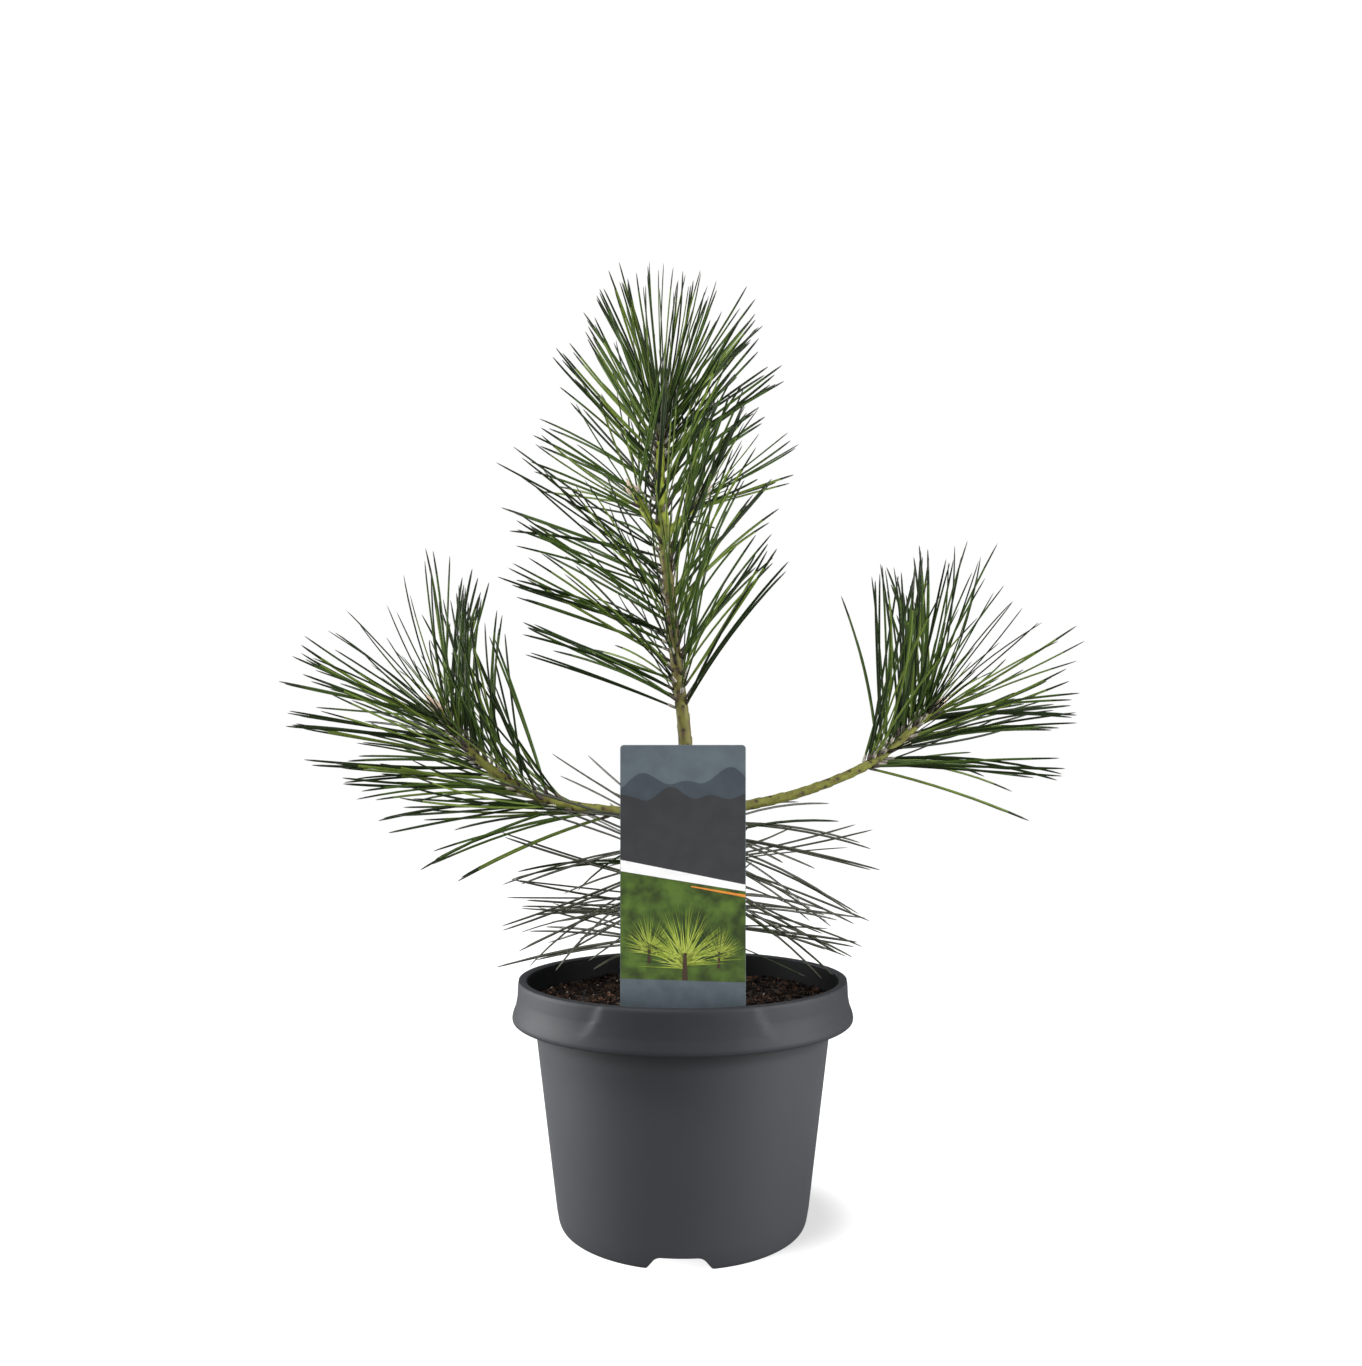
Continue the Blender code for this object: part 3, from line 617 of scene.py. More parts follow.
def rounded(profile, radius, steps):
    """Profile with its inner corners cut to short arcs."""
    points = [np.array(p) for p in profile]
    result = [tuple(points[0])]
    for before, corner, after in zip(points, points[1:], points[2:]):
        sides = np.linalg.norm(before - corner), np.linalg.norm(after - corner)
        room = min(radius, 0.4 * min(sides))
        a = corner + unit(before - corner) * room
        b = corner + unit(after - corner) * room
        for k in range(steps + 1):
            u = k / steps
            result.append(tuple((1 - u) ** 2 * a + 2 * u * (1 - u) * corner + u ** 2 * b))
    result.append(tuple(points[-1]))
    return result


def ramp(value, low, high):
    """Smooth step from 0 at low to 1 at high."""
    u = np.clip((value - low) / (high - low), 0.0, 1.0)
    return u * u * (3 - 2 * u)


def coordinates(thing):
    values = np.empty(len(thing.data.vertices) * 3)
    thing.data.vertices.foreach_get("co", values)
    return values.reshape(-1, 3)


def set_coordinates(thing, values):
    thing.data.vertices.foreach_set("co", values.ravel())
    thing.data.update()


def shade(thing, degrees):
    select_only(thing)
    bpy.ops.object.shade_smooth_by_angle(angle=math.radians(degrees))


def dress(thing, *materials):
    thing.data.materials.clear()
    for material in materials:
        thing.data.materials.append(material)


def finish_piece(thing, node):
    """Hang a finished piece on the plant's body in the place of a node."""
    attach(thing, "root")
    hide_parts(node)


# Materials

class Graph:
    """Adds nodes to a node tree and joins them."""

    def __init__(self, tree):
        self.tree = tree

    def add(self, kind, values=(), **settings):
        """New node with its settings, and values for its inputs by name or number."""
        node = self.tree.nodes.new(kind)
        for name, value in settings.items():
            setattr(node, name, value)
        for name, value in dict(values).items():
            node.inputs[name].default_value = value
        return node

    def join(self, *links):
        """Link sockets, each link given as a node, its output, the next node and its input."""
        for source, out, target, into in links:
            self.tree.links.new(source.outputs[out], target.inputs[into])


def mottle_group():
    """Node group: two scales of soft spots on object coordinates, as a mask and a height."""
    if "Mottle" in bpy.data.node_groups:
        return bpy.data.node_groups["Mottle"]
    group = bpy.data.node_groups.new("Mottle", "ShaderNodeTree")
    for name, default in (("Coarse Scale", 60.0), ("Fine Scale", 900.0), ("Contrast", 0.3)):
        socket = group.interface.new_socket(name=name, in_out="INPUT",
                                            socket_type="NodeSocketFloat")
        socket.default_value = default
    for name in ("Mask", "Height"):
        group.interface.new_socket(name=name, in_out="OUTPUT",
                                   socket_type="NodeSocketFloat")
    graph = Graph(group)
    into = group.nodes.new("NodeGroupInput")
    out = group.nodes.new("NodeGroupOutput")
    place = graph.add("ShaderNodeTexCoord")
    coarse = graph.add("ShaderNodeTexNoise", {"Detail": 4.0})
    fine = graph.add("ShaderNodeTexNoise", {"Detail": 3.0})
    half = graph.add("ShaderNodeMath", {1: 0.5}, operation="MULTIPLY")
    low = graph.add("ShaderNodeMath", {0: 0.5}, operation="SUBTRACT")
    high = graph.add("ShaderNodeMath", {0: 0.5}, operation="ADD")
    mask = graph.add("ShaderNodeMapRange", {"From Min": 0.35, "From Max": 0.65})
    graph.join(
        (place, "Object", coarse, "Vector"), (place, "Object", fine, "Vector"),
        (into, "Coarse Scale", coarse, "Scale"), (into, "Fine Scale", fine, "Scale"),
        (into, "Contrast", half, 0), (half, 0, low, 1), (half, 0, high, 1),
        (coarse, "Fac", mask, "Value"), (low, 0, mask, "To Min"), (high, 0, mask, "To Max"),
        (mask, "Result", out, "Mask"), (fine, "Fac", out, "Height"),
    )
    return group


def shifted(colour, factor):
    return tuple(min(1.0, c * factor) for c in colour)


def mottled_material(name, colour, roughness, contrast=0.3, coarse=60.0, fine=900.0, bump=0.1,
                     distance=0.1 * MM, spread=0.35, coat=0.0, specular=0.5):
    """Principled material whose colour and relief vary softly over the surface."""
    material = bpy.data.materials.new(name)
    material.use_nodes = True
    graph = Graph(material.node_tree)
    shader = material.node_tree.nodes["Principled BSDF"]
    shader.inputs["Coat Weight"].default_value = coat
    shader.inputs["Specular IOR Level"].default_value = specular
    scales = {"Coarse Scale": coarse, "Fine Scale": fine, "Contrast": contrast * 2}
    spots = graph.add("ShaderNodeGroup", scales, node_tree=mottle_group())
    ends = {"A": (*shifted(colour, 1 - spread), 1.0), "B": (*shifted(colour, 1 + spread), 1.0)}
    mix = graph.add("ShaderNodeMix", ends, data_type="RGBA")
    rough = graph.add("ShaderNodeMapRange",
                      {"To Min": roughness - 0.06, "To Max": roughness + 0.06})
    relief = graph.add("ShaderNodeBump", {"Strength": bump, "Distance": distance})
    graph.join(
        (spots, "Mask", mix, "Factor"), (mix, "Result", shader, "Base Color"),
        (spots, "Height", rough, "Value"), (rough, "Result", shader, "Roughness"),
        (spots, "Height", relief, "Height"), (relief, "Normal", shader, "Normal"),
    )
    return material


def painted_shade_below(material, low, high, end, factor):
    """Painted shade: darkens a material from low, most from high up to end, in object height."""
    graph = Graph(material.node_tree)
    shader = material.node_tree.nodes["Principled BSDF"]
    skin = shader.inputs["Base Color"].links[0].from_node
    place = graph.add("ShaderNodeTexCoord")
    height = graph.add("ShaderNodeSeparateXYZ")
    rise = graph.add("ShaderNodeMapRange", {"From Min": low, "From Max": high},
                     interpolation_type="SMOOTHSTEP")
    below = graph.add("ShaderNodeMath", {1: end}, operation="LESS_THAN")
    share = graph.add("ShaderNodeMath", operation="MULTIPLY")
    mix = graph.add("ShaderNodeMix", data_type="RGBA", blend_type="MULTIPLY")
    mix.inputs["B"].default_value = (factor, factor, factor, 1.0)
    graph.join(
        (place, "Object", height, 0), (height, "Z", rise, "Value"), (height, "Z", below, 0),
        (rise, "Result", share, 0), (below, 0, share, 1), (share, 0, mix, "Factor"),
        (skin, "Result", mix, "A"), (mix, "Result", shader, "Base Color"),
    )


def bark_material(settings):
    """Green young bark that browns with age, with dark scars read from the piece's attributes."""
    material = mottled_material("bark", settings.green, 0.62, contrast=0.45, coarse=140.0,
                                fine=1500.0, bump=0.35, distance=0.25 * MM, specular=0.25)
    graph = Graph(material.node_tree)
    shader = material.node_tree.nodes["Principled BSDF"]
    last = shader.inputs["Base Color"].links[0].from_node
    for attribute, colour in (("age", settings.brown), ("scar", settings.scar)):
        mask = graph.add("ShaderNodeAttribute", attribute_name=attribute)
        mix = graph.add("ShaderNodeMix", data_type="RGBA")
        mix.inputs["B"].default_value = (*colour, 1.0)
        graph.join((mask, "Fac", mix, "Factor"), (last, "Result", mix, "A"))
        last = mix
    graph.join((last, "Result", shader, "Base Color"))
    return material


# Stage

class PINE_OT_stage(bpy.types.Operator):
    """Lay the pale floor, hang the soft lights and set the camera"""
    bl_idname = "pine.stage"
    bl_label = "Stage"

    def execute(self, context):
        settings = context.scene.pine_stage
        bpy.ops.object.select_all(action="DESELECT")
        bpy.ops.mesh.primitive_plane_add(size=2 * settings.floor, location=(0.0, 0.0, 0.0))
        floor = context.object
        floor.name = floor.data.name = "floor"
        edit(floor)
        bpy.ops.transform.translate(value=(0.0, 0.0, -0.05 * MM))
        leave()
        dress(floor, self.floor_paint())
        self.light_world(context.scene)
        self.hang_lamps()
        self.set_camera(context.scene, settings)
        return {"FINISHED"}

    def floor_paint(self):
        """White paper with only a soft shadow by the pot, partly real, partly a painted dip in
        glow.
        """
        paint = mottled_material("floor_paint", (0.28, 0.28, 0.28), 0.9, spread=0.01, bump=0.0,
                                 specular=0.0)
        graph = Graph(paint.node_tree)
        shader = paint.node_tree.nodes["Principled BSDF"]
        shader.inputs["Emission Color"].default_value = WHITE
        place = graph.add("ShaderNodeTexCoord")
        aside = graph.add("ShaderNodeVectorMath", {1: SHADOW_MIDDLE}, operation="SUBTRACT")
        away = graph.add("ShaderNodeVectorMath", operation="LENGTH")
        ends = {"From Min": SHADOW_RADII[0], "From Max": SHADOW_RADII[1], "To Min": SHADOW_GLOW}
        fade = graph.add("ShaderNodeMapRange", ends, interpolation_type="SMOOTHSTEP")
        seen = graph.add("ShaderNodeLightPath")
        glow = graph.add("ShaderNodeMath", operation="MULTIPLY")
        graph.join(
            (place, "Object", aside, 0), (aside, 0, away, 0), (away, "Value", fade, "Value"),
            (seen, "Is Camera Ray", glow, 0), (fade, "Result", glow, 1),
            (glow, 0, shader, "Emission Strength"),
        )
        return paint

    def light_world(self, scene):
        """Soft light from all round, in front of a wall that the camera sees white."""
        world = bpy.data.worlds.new("studio")
        scene.world = world
        world.use_nodes = True
        graph = Graph(world.node_tree)
        soft = world.node_tree.nodes["Background"]
        soft.inputs["Color"].default_value = WHITE
        soft.inputs["Strength"].default_value = WORLD_LIGHT
        wall = graph.add("ShaderNodeBackground", {"Color": WHITE, "Strength": 1.0})
        seen = graph.add("ShaderNodeLightPath")
        mix = graph.add("ShaderNodeMixShader")
        graph.join(
            (seen, "Is Camera Ray", mix, "Fac"), (soft, "Background", mix, 1),
            (wall, "Background", mix, 2),
            (mix, "Shader", world.node_tree.nodes["World Output"], "Surface"),
        )
        scene.view_settings.view_transform = "Standard"
        scene.view_settings.look = "None"

    def hang_lamps(self):
        for name, place, size, power in LAMPS:
            bpy.ops.object.light_add(type="AREA", location=place)
            lamp = bpy.context.object
            lamp.name = name
            lamp.data.size = size
            lamp.data.energy = power
            facing = Vector(LAMP_TARGET) - Vector(place)
            lamp.rotation_euler = facing.to_track_quat("-Z", "Y").to_euler()

    def set_camera(self, scene, settings):
        data = bpy.data.cameras.new("camera")
        camera = bpy.data.objects.new("camera", data)
        scene.collection.objects.link(camera)
        data.lens = settings.lens
        data.sensor_width = 36.0
        data.sensor_fit = "AUTO"
        camera.location = CAMERA_PLACE
        camera.rotation_euler = (CAMERA_TILT, 0.0, 0.0)
        scene.camera = camera


# Pot and compost

def wall_radius(z):
    """Outer radius of the pot's tapering wall at a height."""
    return FOOT_RADIUS + (WALL_TOP_RADIUS - FOOT_RADIUS) * z / WALL_TOP


def pot_profile():
    """Half section of the pot in metres: floor, inner wall, lip, collar, outer wall and foot."""
    inner = [
        (0.0, FLOOR_TOP),
        (wall_radius(FLOOR_TOP) - POT_WALL - 1.0 * MM, FLOOR_TOP),
        (wall_radius(FLOOR_TOP) - POT_WALL, FLOOR_TOP + 1.0 * MM),
        (WALL_TOP_RADIUS - POT_WALL, WALL_TOP),
    ]
    collar = [(radius * MM, height * MM) for radius, height in COLLAR]
    wall = [(WALL_TOP_RADIUS, WALL_TOP)]
    wall += [(wall_radius(height * MM), height * MM) for height in (75.0, 40.0, 8.0)]
    foot = [
        (FOOT_RADIUS - 0.1 * MM, 2.0 * MM),
        (FOOT_RADIUS - 1.0 * MM, 0.0),
        (FOOT_RADIUS - 2.8 * MM, 0.0),
        (FOOT_RADIUS - 3.0 * MM, FOOT_HEIGHT),
        (0.0, FOOT_HEIGHT),
    ]
    return inner + collar + wall + foot


def rear_shift(azimuth, step):
    """How far the lip steps in behind the side panels."""
    half = math.radians(0.7)
    return step * ramp(abs(azimuth), PANEL_EDGES[1] - half, PANEL_EDGES[1] + half)


def pot_azimuth(points):
    """Angle from the pot's front, from minus pi to pi."""
    turned_by = np.arctan2(points[:, 0], -points[:, 1]) - POT_TURN
    return (turned_by + math.pi) % (2 * math.pi) - math.pi


def panel_share(azimuth, radius, height):
    """Depth of the collar's side panels from 0 to 1, with slanted ends and rounded corners."""
    near, far = PANEL_EDGES
    inside = radius * (abs(azimuth) - near) - PANEL_SLANT * (POT_HEIGHT - height)
    above = 0.6 * (height - PANEL_FOOT)
    corner = np.hypot(np.minimum(inside - PANEL_CORNER, 0.0), np.minimum(above - PANEL_CORNER, 0.0))
    depth = np.where((inside < PANEL_CORNER) & (above < PANEL_CORNER), PANEL_CORNER - corner,
                     np.minimum(inside, above))
    return ramp(depth, *PANEL_SLOPE) * (1 - ramp(abs(azimuth), far - 0.01, far + 0.01))


def notch_outline():
    """Drain notch with its slanted sides and rounded corners, in metres."""
    top, foot, height = 11.7 * MM, 17.4 * MM, 6.4 * MM
    right = [(top, height), (foot - 1.0 * MM, 0.4 * MM), (foot + 1 * MM, 0.0),
             (foot + 3 * MM, -2 * MM)]
    return rounded([(-x, z) for x, z in reversed(right)] + right, 2.6 * MM, 4)


def cut_with(thing, tool):
    boolean = thing.modifiers.new("cut", "BOOLEAN")
    boolean.operation = "DIFFERENCE"
    boolean.solver = "EXACT"
    boolean.object = tool
    apply_modifier(thing, boolean)
    bpy.data.objects.remove(tool, do_unlink=True)


def prism(name, outline, depth):
    """Closed solid from an outline in the XZ plane, its depth along Y about the origin."""
    corners = len(outline)
    verts = [(x, y, z) for y in (-depth / 2, depth / 2) for x, z in outline]
    edges = [(k, (k + 1) % corners) for k in range(corners)]
    sides = [(a, b, b + corners, a + corners) for a, b in edges]
    ends = [tuple(reversed(range(corners))), tuple(range(corners, 2 * corners))]
    thing = new_object(name, verts, sides + ends, [], smooth=False)
    face_outwards(thing)
    return thing


class PINE_OT_pot(bpy.types.Operator):
    """Spin the pot, press in its side panels and cut its drain notches and holes"""
    bl_idname = "pine.pot"
    bl_label = "Pot"

    def execute(self, context):
        settings = context.scene.pine_pot
        pot = turned("pot_body", rounded(pot_profile(), 0.8 * MM, 3), 360)
        self.press_panels(pot, settings)
        self.cut_drains(pot)
        shade(pot, 30.0)
        self.paint(pot, settings.plastic)
        finish_piece(pot, "pot")
        return {"FINISHED"}

    def press_panels(self, pot, settings):
        """Move the collar's face in at its side panels and behind them."""
        points = coordinates(pot)
        azimuth = pot_azimuth(points)
        radius = np.hypot(points[:, 0], points[:, 1])
        height = points[:, 2]
        shift = settings.panel_depth * panel_share(azimuth, radius, height)
        shift += rear_shift(azimuth, settings.rear_step) * ramp(height, *STEP_HEIGHTS)
        shift *= ramp(radius, *FACE_RADII) * (height > PRESS_FOOT)
        scale = np.where(radius > MM, (radius - shift) / np.maximum(radius, MM), 1.0)
        points[:, :2] *= scale[:, None]
        set_coordinates(pot, points)

    def cut_drains(self, pot):
        """Cut four notches in the foot and eight holes in the floor."""
        for index in range(4):
            tool = prism(f"notch_{index}", notch_outline(), 16.0 * MM)
            turn = Matrix.Rotation(POT_TURN + index * math.pi / 2, 4, "Z")
            tool.data.transform(turn @ Matrix.Translation((0.0, -FOOT_RADIUS, 0.0)))
            cut_with(pot, tool)
        for index in range(8):
            turn = POT_TURN + (index + 0.5) * math.pi / 4
            place = (HOLE_CIRCLE * math.sin(turn), -HOLE_CIRCLE * math.cos(turn), 7.0 * MM)
            bpy.ops.object.select_all(action="DESELECT")
            bpy.ops.mesh.primitive_cylinder_add(vertices=24, radius=HOLE_RADIUS, depth=6.0 * MM,
                                                location=place)
            cut_with(pot, bpy.context.object)

    def paint(self, pot, colour):
        """Plain plastic with painted shade below the collar, inside and on the duller collar."""
        plastic = mottled_material("pot_plastic", colour, 0.48, contrast=0.2, coarse=25.0,
                                   fine=1400.0, distance=0.08 * MM, spread=0.06)
        # Painted shade on the wall just under the collar
        painted_shade_below(plastic, 97.0 * MM, 107.0 * MM, 112.0 * MM, 0.25)
        # Painted shade: a near black copy of the plastic for the inner wall, in place of its shade
        shaded_inside = mottled_material("pot_inside", shifted(colour, 0.06), 0.6, coarse=80.0, fine=1400.0,
                                distance=0.08 * MM, spread=0.25, specular=0.06)
        # Painted shade: a darker copy of the plastic for the collar, also rougher and less shiny
        shaded_collar = mottled_material("pot_collar", shifted(colour, 0.72), 0.6, contrast=0.35,
                                  coarse=45.0, fine=1400.0, bump=0.12, spread=0.10, specular=0.22)
        dress(pot, plastic, shaded_inside, shaded_collar)
        for face in pot.data.polygons:
            out = Vector((face.center.x, face.center.y, 0.0))
            if face.center.z > FLOOR_TOP and face.normal.dot(out) < 0 and out.length < LIP_RADIUS:
                face.material_index = SHADED_INSIDE
            elif face.center.z > COLLAR_FOOT and out.length > LIP_RADIUS:
                face.material_index = SHADED_COLLAR


def crumb_shapes(rng):
    """A few angular crumbs of about 1 m across, as corners and faces."""
    shapes = []
    for _ in range(10):
        solid = bmesh.new()
        bmesh.ops.create_icosphere(solid, subdivisions=1, radius=0.5)
        stretchy = np.array([rng.uniform(0.7, 1.7), rng.uniform(0.5, 1.1), rng.uniform(0.35, 0.8)])
        verts = np.array([v.co[:] for v in solid.verts]) * stretchy
        verts *= np.array([[rng.uniform(0.75, 1.25)] for _ in verts])
        faces = np.array([[v.index for v in face.verts] for face in solid.faces])
        solid.free()
        shapes.append((verts, faces))
    return shapes


def turn_matrix(rng):
    """Random rotation as a 3 by 3 array."""
    axis = unit(np.array([rng.gauss(0, 1), rng.gauss(0, 1), rng.gauss(0, 1)]))
    return np.array(Matrix.Rotation(rng.uniform(0, 2 * math.pi), 3, Vector(axis)))


def soil_height(x, y):
    """Height of the compost's gently uneven top."""
    radius = np.hypot(x, y)
    waves = (0.6 * np.sin(x * 95.0 + 0.7) * np.cos(y * 80.0)
             + 0.4 * np.sin(x * 210.0 - y * 170.0 + 1.3))
    return SOIL_TOP + (waves - 1.2 * (radius / (86.0 * MM)) ** 2) * MM


class PINE_OT_compost(bpy.types.Operator):
    """Fill the pot with compost and strew crumbs of bark and peat over it"""
    bl_idname = "pine.compost"
    bl_label = "Compost"

    def execute(self, context):
        colour = context.scene.pine_pot.compost
        body = self.fill()
        dress(body, mottled_material("compost_body", colour, 0.95, contrast=0.45, coarse=300.0,
                                     fine=1200.0, bump=0.8, distance=1.0 * MM, spread=0.5))
        finish_piece(body, "compost")
        crumbs = self.strew([
            mottled_material(name, tone or shifted(colour, 0.8), roughness, bump=0.5,
                             distance=0.3 * MM, specular=0.1)
            for name, tone, roughness, _ in CRUMBS
        ])
        finish_piece(crumbs, "compost")
        return {"FINISHED"}

    def fill(self):
        """Root ball turned to the pot's inside, with its top wavy and spread to the lip."""
        floor = FLOOR_TOP + 0.3 * MM
        profile = [(k * 5.0 * MM, SOIL_TOP) for k in range(17)]
        profile += [
            (83.4 * MM, SOIL_TOP - 1.0 * MM),
            (83.8 * MM, 115.8 * MM),
            (WALL_TOP_RADIUS - POT_WALL - 0.6 * MM, WALL_TOP),
            (wall_radius(floor) - POT_WALL - 0.9 * MM, floor + 2.0 * MM),
            (wall_radius(floor) - POT_WALL - 2.0 * MM, floor),
            (0.0, floor),
        ]
        body = turned("compost_body", profile, 96)
        points = coordinates(body)
        top = points[:, 2] > 117.0 * MM
        radius = np.hypot(points[:, 0], points[:, 1])
        wider = np.where(radius > 82.5 * MM, SOIL_RIM / np.maximum(radius, MM), 1.0)
        points[:, :2] *= np.where(points[:, 2] > 115.0 * MM, wider, 1.0)[:, None]
        points[:, 2] = np.where(top, soil_height(points[:, 0], points[:, 1]), points[:, 2])
        set_coordinates(body, points)
        shade(body, 40.0)
        return body

    def strew(self, materials):
        rng = random.Random(5)
        shapes = crumb_shapes(rng)
        verts, faces, kinds = [], [], []
        count = 0
        for _ in range(CRUMB_COUNT):
            azimuth = rng.uniform(-math.pi, math.pi)
            radius = CRUMB_RIM * math.sqrt(rng.random())
            x, y = radius * math.sin(azimuth), -radius * math.cos(azimuth)
            if radius < CRUMB_START:
                continue
            size = rng.choice(CRUMB_SIZES) * MM
            kind = rng.choices(range(4), [share for *_, share in CRUMBS])[0]
            if kind == PALE:
                size *= PALE_SIZE
            shape, sides = rng.choice(shapes)
            placed = shape * size @ turn_matrix(rng).T
            placed = placed + (x, y, soil_height(x, y) + size * rng.uniform(-0.1, 0.25))
            if np.hypot(placed[:, 0], placed[:, 1]).max() > CRUMB_RIM + 1.6 * MM:
                continue
            verts.append(placed)
            faces.append(sides + count)
            kinds += [kind] * len(sides)
            count += len(placed)
        return new_object("compost_crumbs", np.vstack(verts), np.vstack(faces), materials, kinds,
                          smooth=False)


# Label

def card_outline():
    """Card with rounded top corners and a tail that goes into the compost, across and up."""
    half = LABEL_WIDTH / 2
    outline = []
    for side, start in ((1, 0.0), (-1, math.pi / 2)):
        for k in range(9):
            turn = start + k * math.pi / 16
            outline.append((side * (half - LABEL_CORNER) + LABEL_CORNER * math.cos(turn),
                            -LABEL_CORNER + LABEL_CORNER * math.sin(turn)))
    right = [(2 * MM, -LABEL_BODY - LABEL_TAIL), (8 * MM, -LABEL_BODY - 12 * MM),
             (half, -LABEL_BODY)]
    return outline + [(-x, up) for x, up in reversed(right)] + right


def label_place():
    """Matrix from the card's own across, out and up to where it stands."""
    lean = Matrix.Rotation(LABEL_LEAN, 4, "X")
    return Matrix.Translation((0.0, LABEL_FRONT, LABEL_TOP)) @ lean


class Print:
    """Flat shapes printed on the card, each a thin layer over the last."""

    def __init__(self):
        self.verts, self.faces, self.kinds = [], [], []
        self.layer = 0

    def shape(self, outline, ink, raise_layer=True):
        """Add one filled outline, in millimetres across and down."""
        if raise_layer:
            self.layer += 1
        start = len(self.verts)
        out = -LABEL_THICKNESS / 2 - (0.02 + 0.012 * self.layer) * MM
        self.verts += [(x * MM, out, -down * MM) for x, down in outline]
        self.faces.append(tuple(range(start, start + len(outline))))
        self.kinds.append(list(INKS).index(ink))

    def band(self, left, right, ink):
        """Add a band across the card, between its tops and feet at the left and right edges."""
        (left_top, left_foot), (right_top, right_foot) = left, right
        self.shape([(-PRINT_HALF, left_top), (PRINT_HALF, right_top), (PRINT_HALF, right_foot),
                    (-PRINT_HALF, left_foot)], ink)


def hills(base, waves, foot):
    """Outline of a row of rounded hills above a straight foot."""
    line = []
    for k in range(49):
        x = -PRINT_HALF + k * 2 * PRINT_HALF / 48
        rise = sum(height * (0.5 + 0.5 * math.cos((x - middle) * math.pi / width))
                   for middle, width, height in waves if abs(x - middle) < width)
        line.append((x, base - rise))
    return line + [(PRINT_HALF, foot), (-PRINT_HALF, foot)]


class PINE_OT_label(bpy.types.Operator):
    """Cut the label's card and print its plain picture of hills and sprigs"""
    bl_idname = "pine.label"
    bl_label = "Label"

    def execute(self, context):
        settings = context.scene.pine_label
        card = prism("label_card", card_outline(), LABEL_THICKNESS)
        bevel = card.modifiers.new("edge", "BEVEL")
        bevel.width = 0.12 * MM
        bevel.segments = 2
        bevel.limit_method = "ANGLE"
        apply_modifier(card, bevel)
        card.data.transform(label_place())
        dress(card, mottled_material("label_card", shifted(settings.sky, 1.2), 0.35, spread=0.08,
                                     bump=0.05))
        finish_piece(card, "label")
        picture = self.draw_shapes()
        picture.data.transform(label_place())
        self.ink(picture, settings)
        finish_piece(picture, "label")
        return {"FINISHED"}

    def draw_shapes(self):
        """Sky, hills, meadow with three sprigs, white band and stripe, and the plain foot."""
        sheet = Print()
        curve = LABEL_CORNER / MM
        arc = [(PRINT_HALF - curve + curve * math.sin(a), 0.2 + curve - curve * math.cos(a))
               for a in np.linspace(0, math.pi / 2, 7)]
        foot = [(PRINT_HALF, 40.0), (-PRINT_HALF, 40.0)]
        sheet.shape([(-x, down) for x, down in reversed(arc)] + arc + foot, "sky")
        far = ((-20, 16, 10), (2, 20, 6), (24, 17, 13))
        near = ((-31, 20, 5), (-6, 15, 9), (14, 15, 5), (33, 14, 6))
        sheet.shape(hills(24.0, far, 46.0), "hill_far")
        sheet.shape(hills(30.0, near, 62.0), "ink")
        sheet.band((34.0, 62.0), (36.0, 70.0), "ink")
        sheet.band((61.5, 120.0), (72.5, 120.0), "meadow")
        for x, down, size, seed in ((-17.0, 104.0, 0.62, 4), (18.0, 107.0, 0.55, 6),
                                    (1.0, 110.0, 0.95, 3)):
            self.sprig(sheet, x, down, size, seed)
        sheet.band((57.5, 63.2), (70.0, 73.4), "band")
        sheet.shape([(4.0, 70.5), (PRINT_HALF, 75.0), (PRINT_HALF, 76.4), (4.0, 71.2)],
                    "stripe")
        sheet.band((117.0, 138.7), (119.0, 138.7), "sky")
        return new_object("label_print", sheet.verts, sheet.faces, [], sheet.kinds, smooth=False)

    def sprig(self, sheet, middle, foot, scale, seed):
        """Fans of needles, dark behind light, that rise from a short twig."""
        rng = random.Random(seed)
        for ink, count, low, high in FANS:
            sheet.layer += 1
            for k in range(count):
                turn = math.radians(-88 + 176 * (k + rng.random()) / count)
                length = rng.uniform(low, high) * (1 - 0.22 * abs(math.sin(turn))) * scale
                x0 = middle + rng.uniform(-1.2, 1.2) * scale
                d0 = foot + rng.uniform(-4.0, 2.0) * scale
                tip = (x0 + length * math.sin(turn), d0 - length * math.cos(turn))
                wide = (0.5 * scale * math.cos(turn), 0.5 * scale * math.sin(turn))
                blade = [(x0 - wide[0], d0 - wide[1]), (x0 + wide[0], d0 + wide[1]), tip]
                sheet.shape(blade, ink, raise_layer=False)
        twig = [(-0.8, -6.0), (0.8, -6.0), (1.5, 9.0), (-1.5, 9.0)]
        sheet.shape([(middle + x * scale, min(foot + down * scale, 118.0)) for x, down in twig],
                    "twig")

    def ink(self, picture, settings):
        """Give the printed shapes their inks, and face them all to the front."""
        for name, colour in INKS.items():
            picture.data.materials.append(mottled_material(
                "print_" + name, colour or getattr(settings, name), 0.32, contrast=0.5,
                coarse=120.0, fine=1500.0, bump=0.03, spread=0.55 if name == "meadow" else 0.10,
                coat=0.2))
        edit(picture)
        bpy.ops.mesh.quads_convert_to_tris()
        leave()
        mesh = bmesh.new()
        mesh.from_mesh(picture.data)
        bmesh.ops.reverse_faces(mesh, faces=[face for face in mesh.faces if face.normal.y > 0])
        mesh.to_mesh(picture.data)
        mesh.free()


# Trunk, boughs and buds

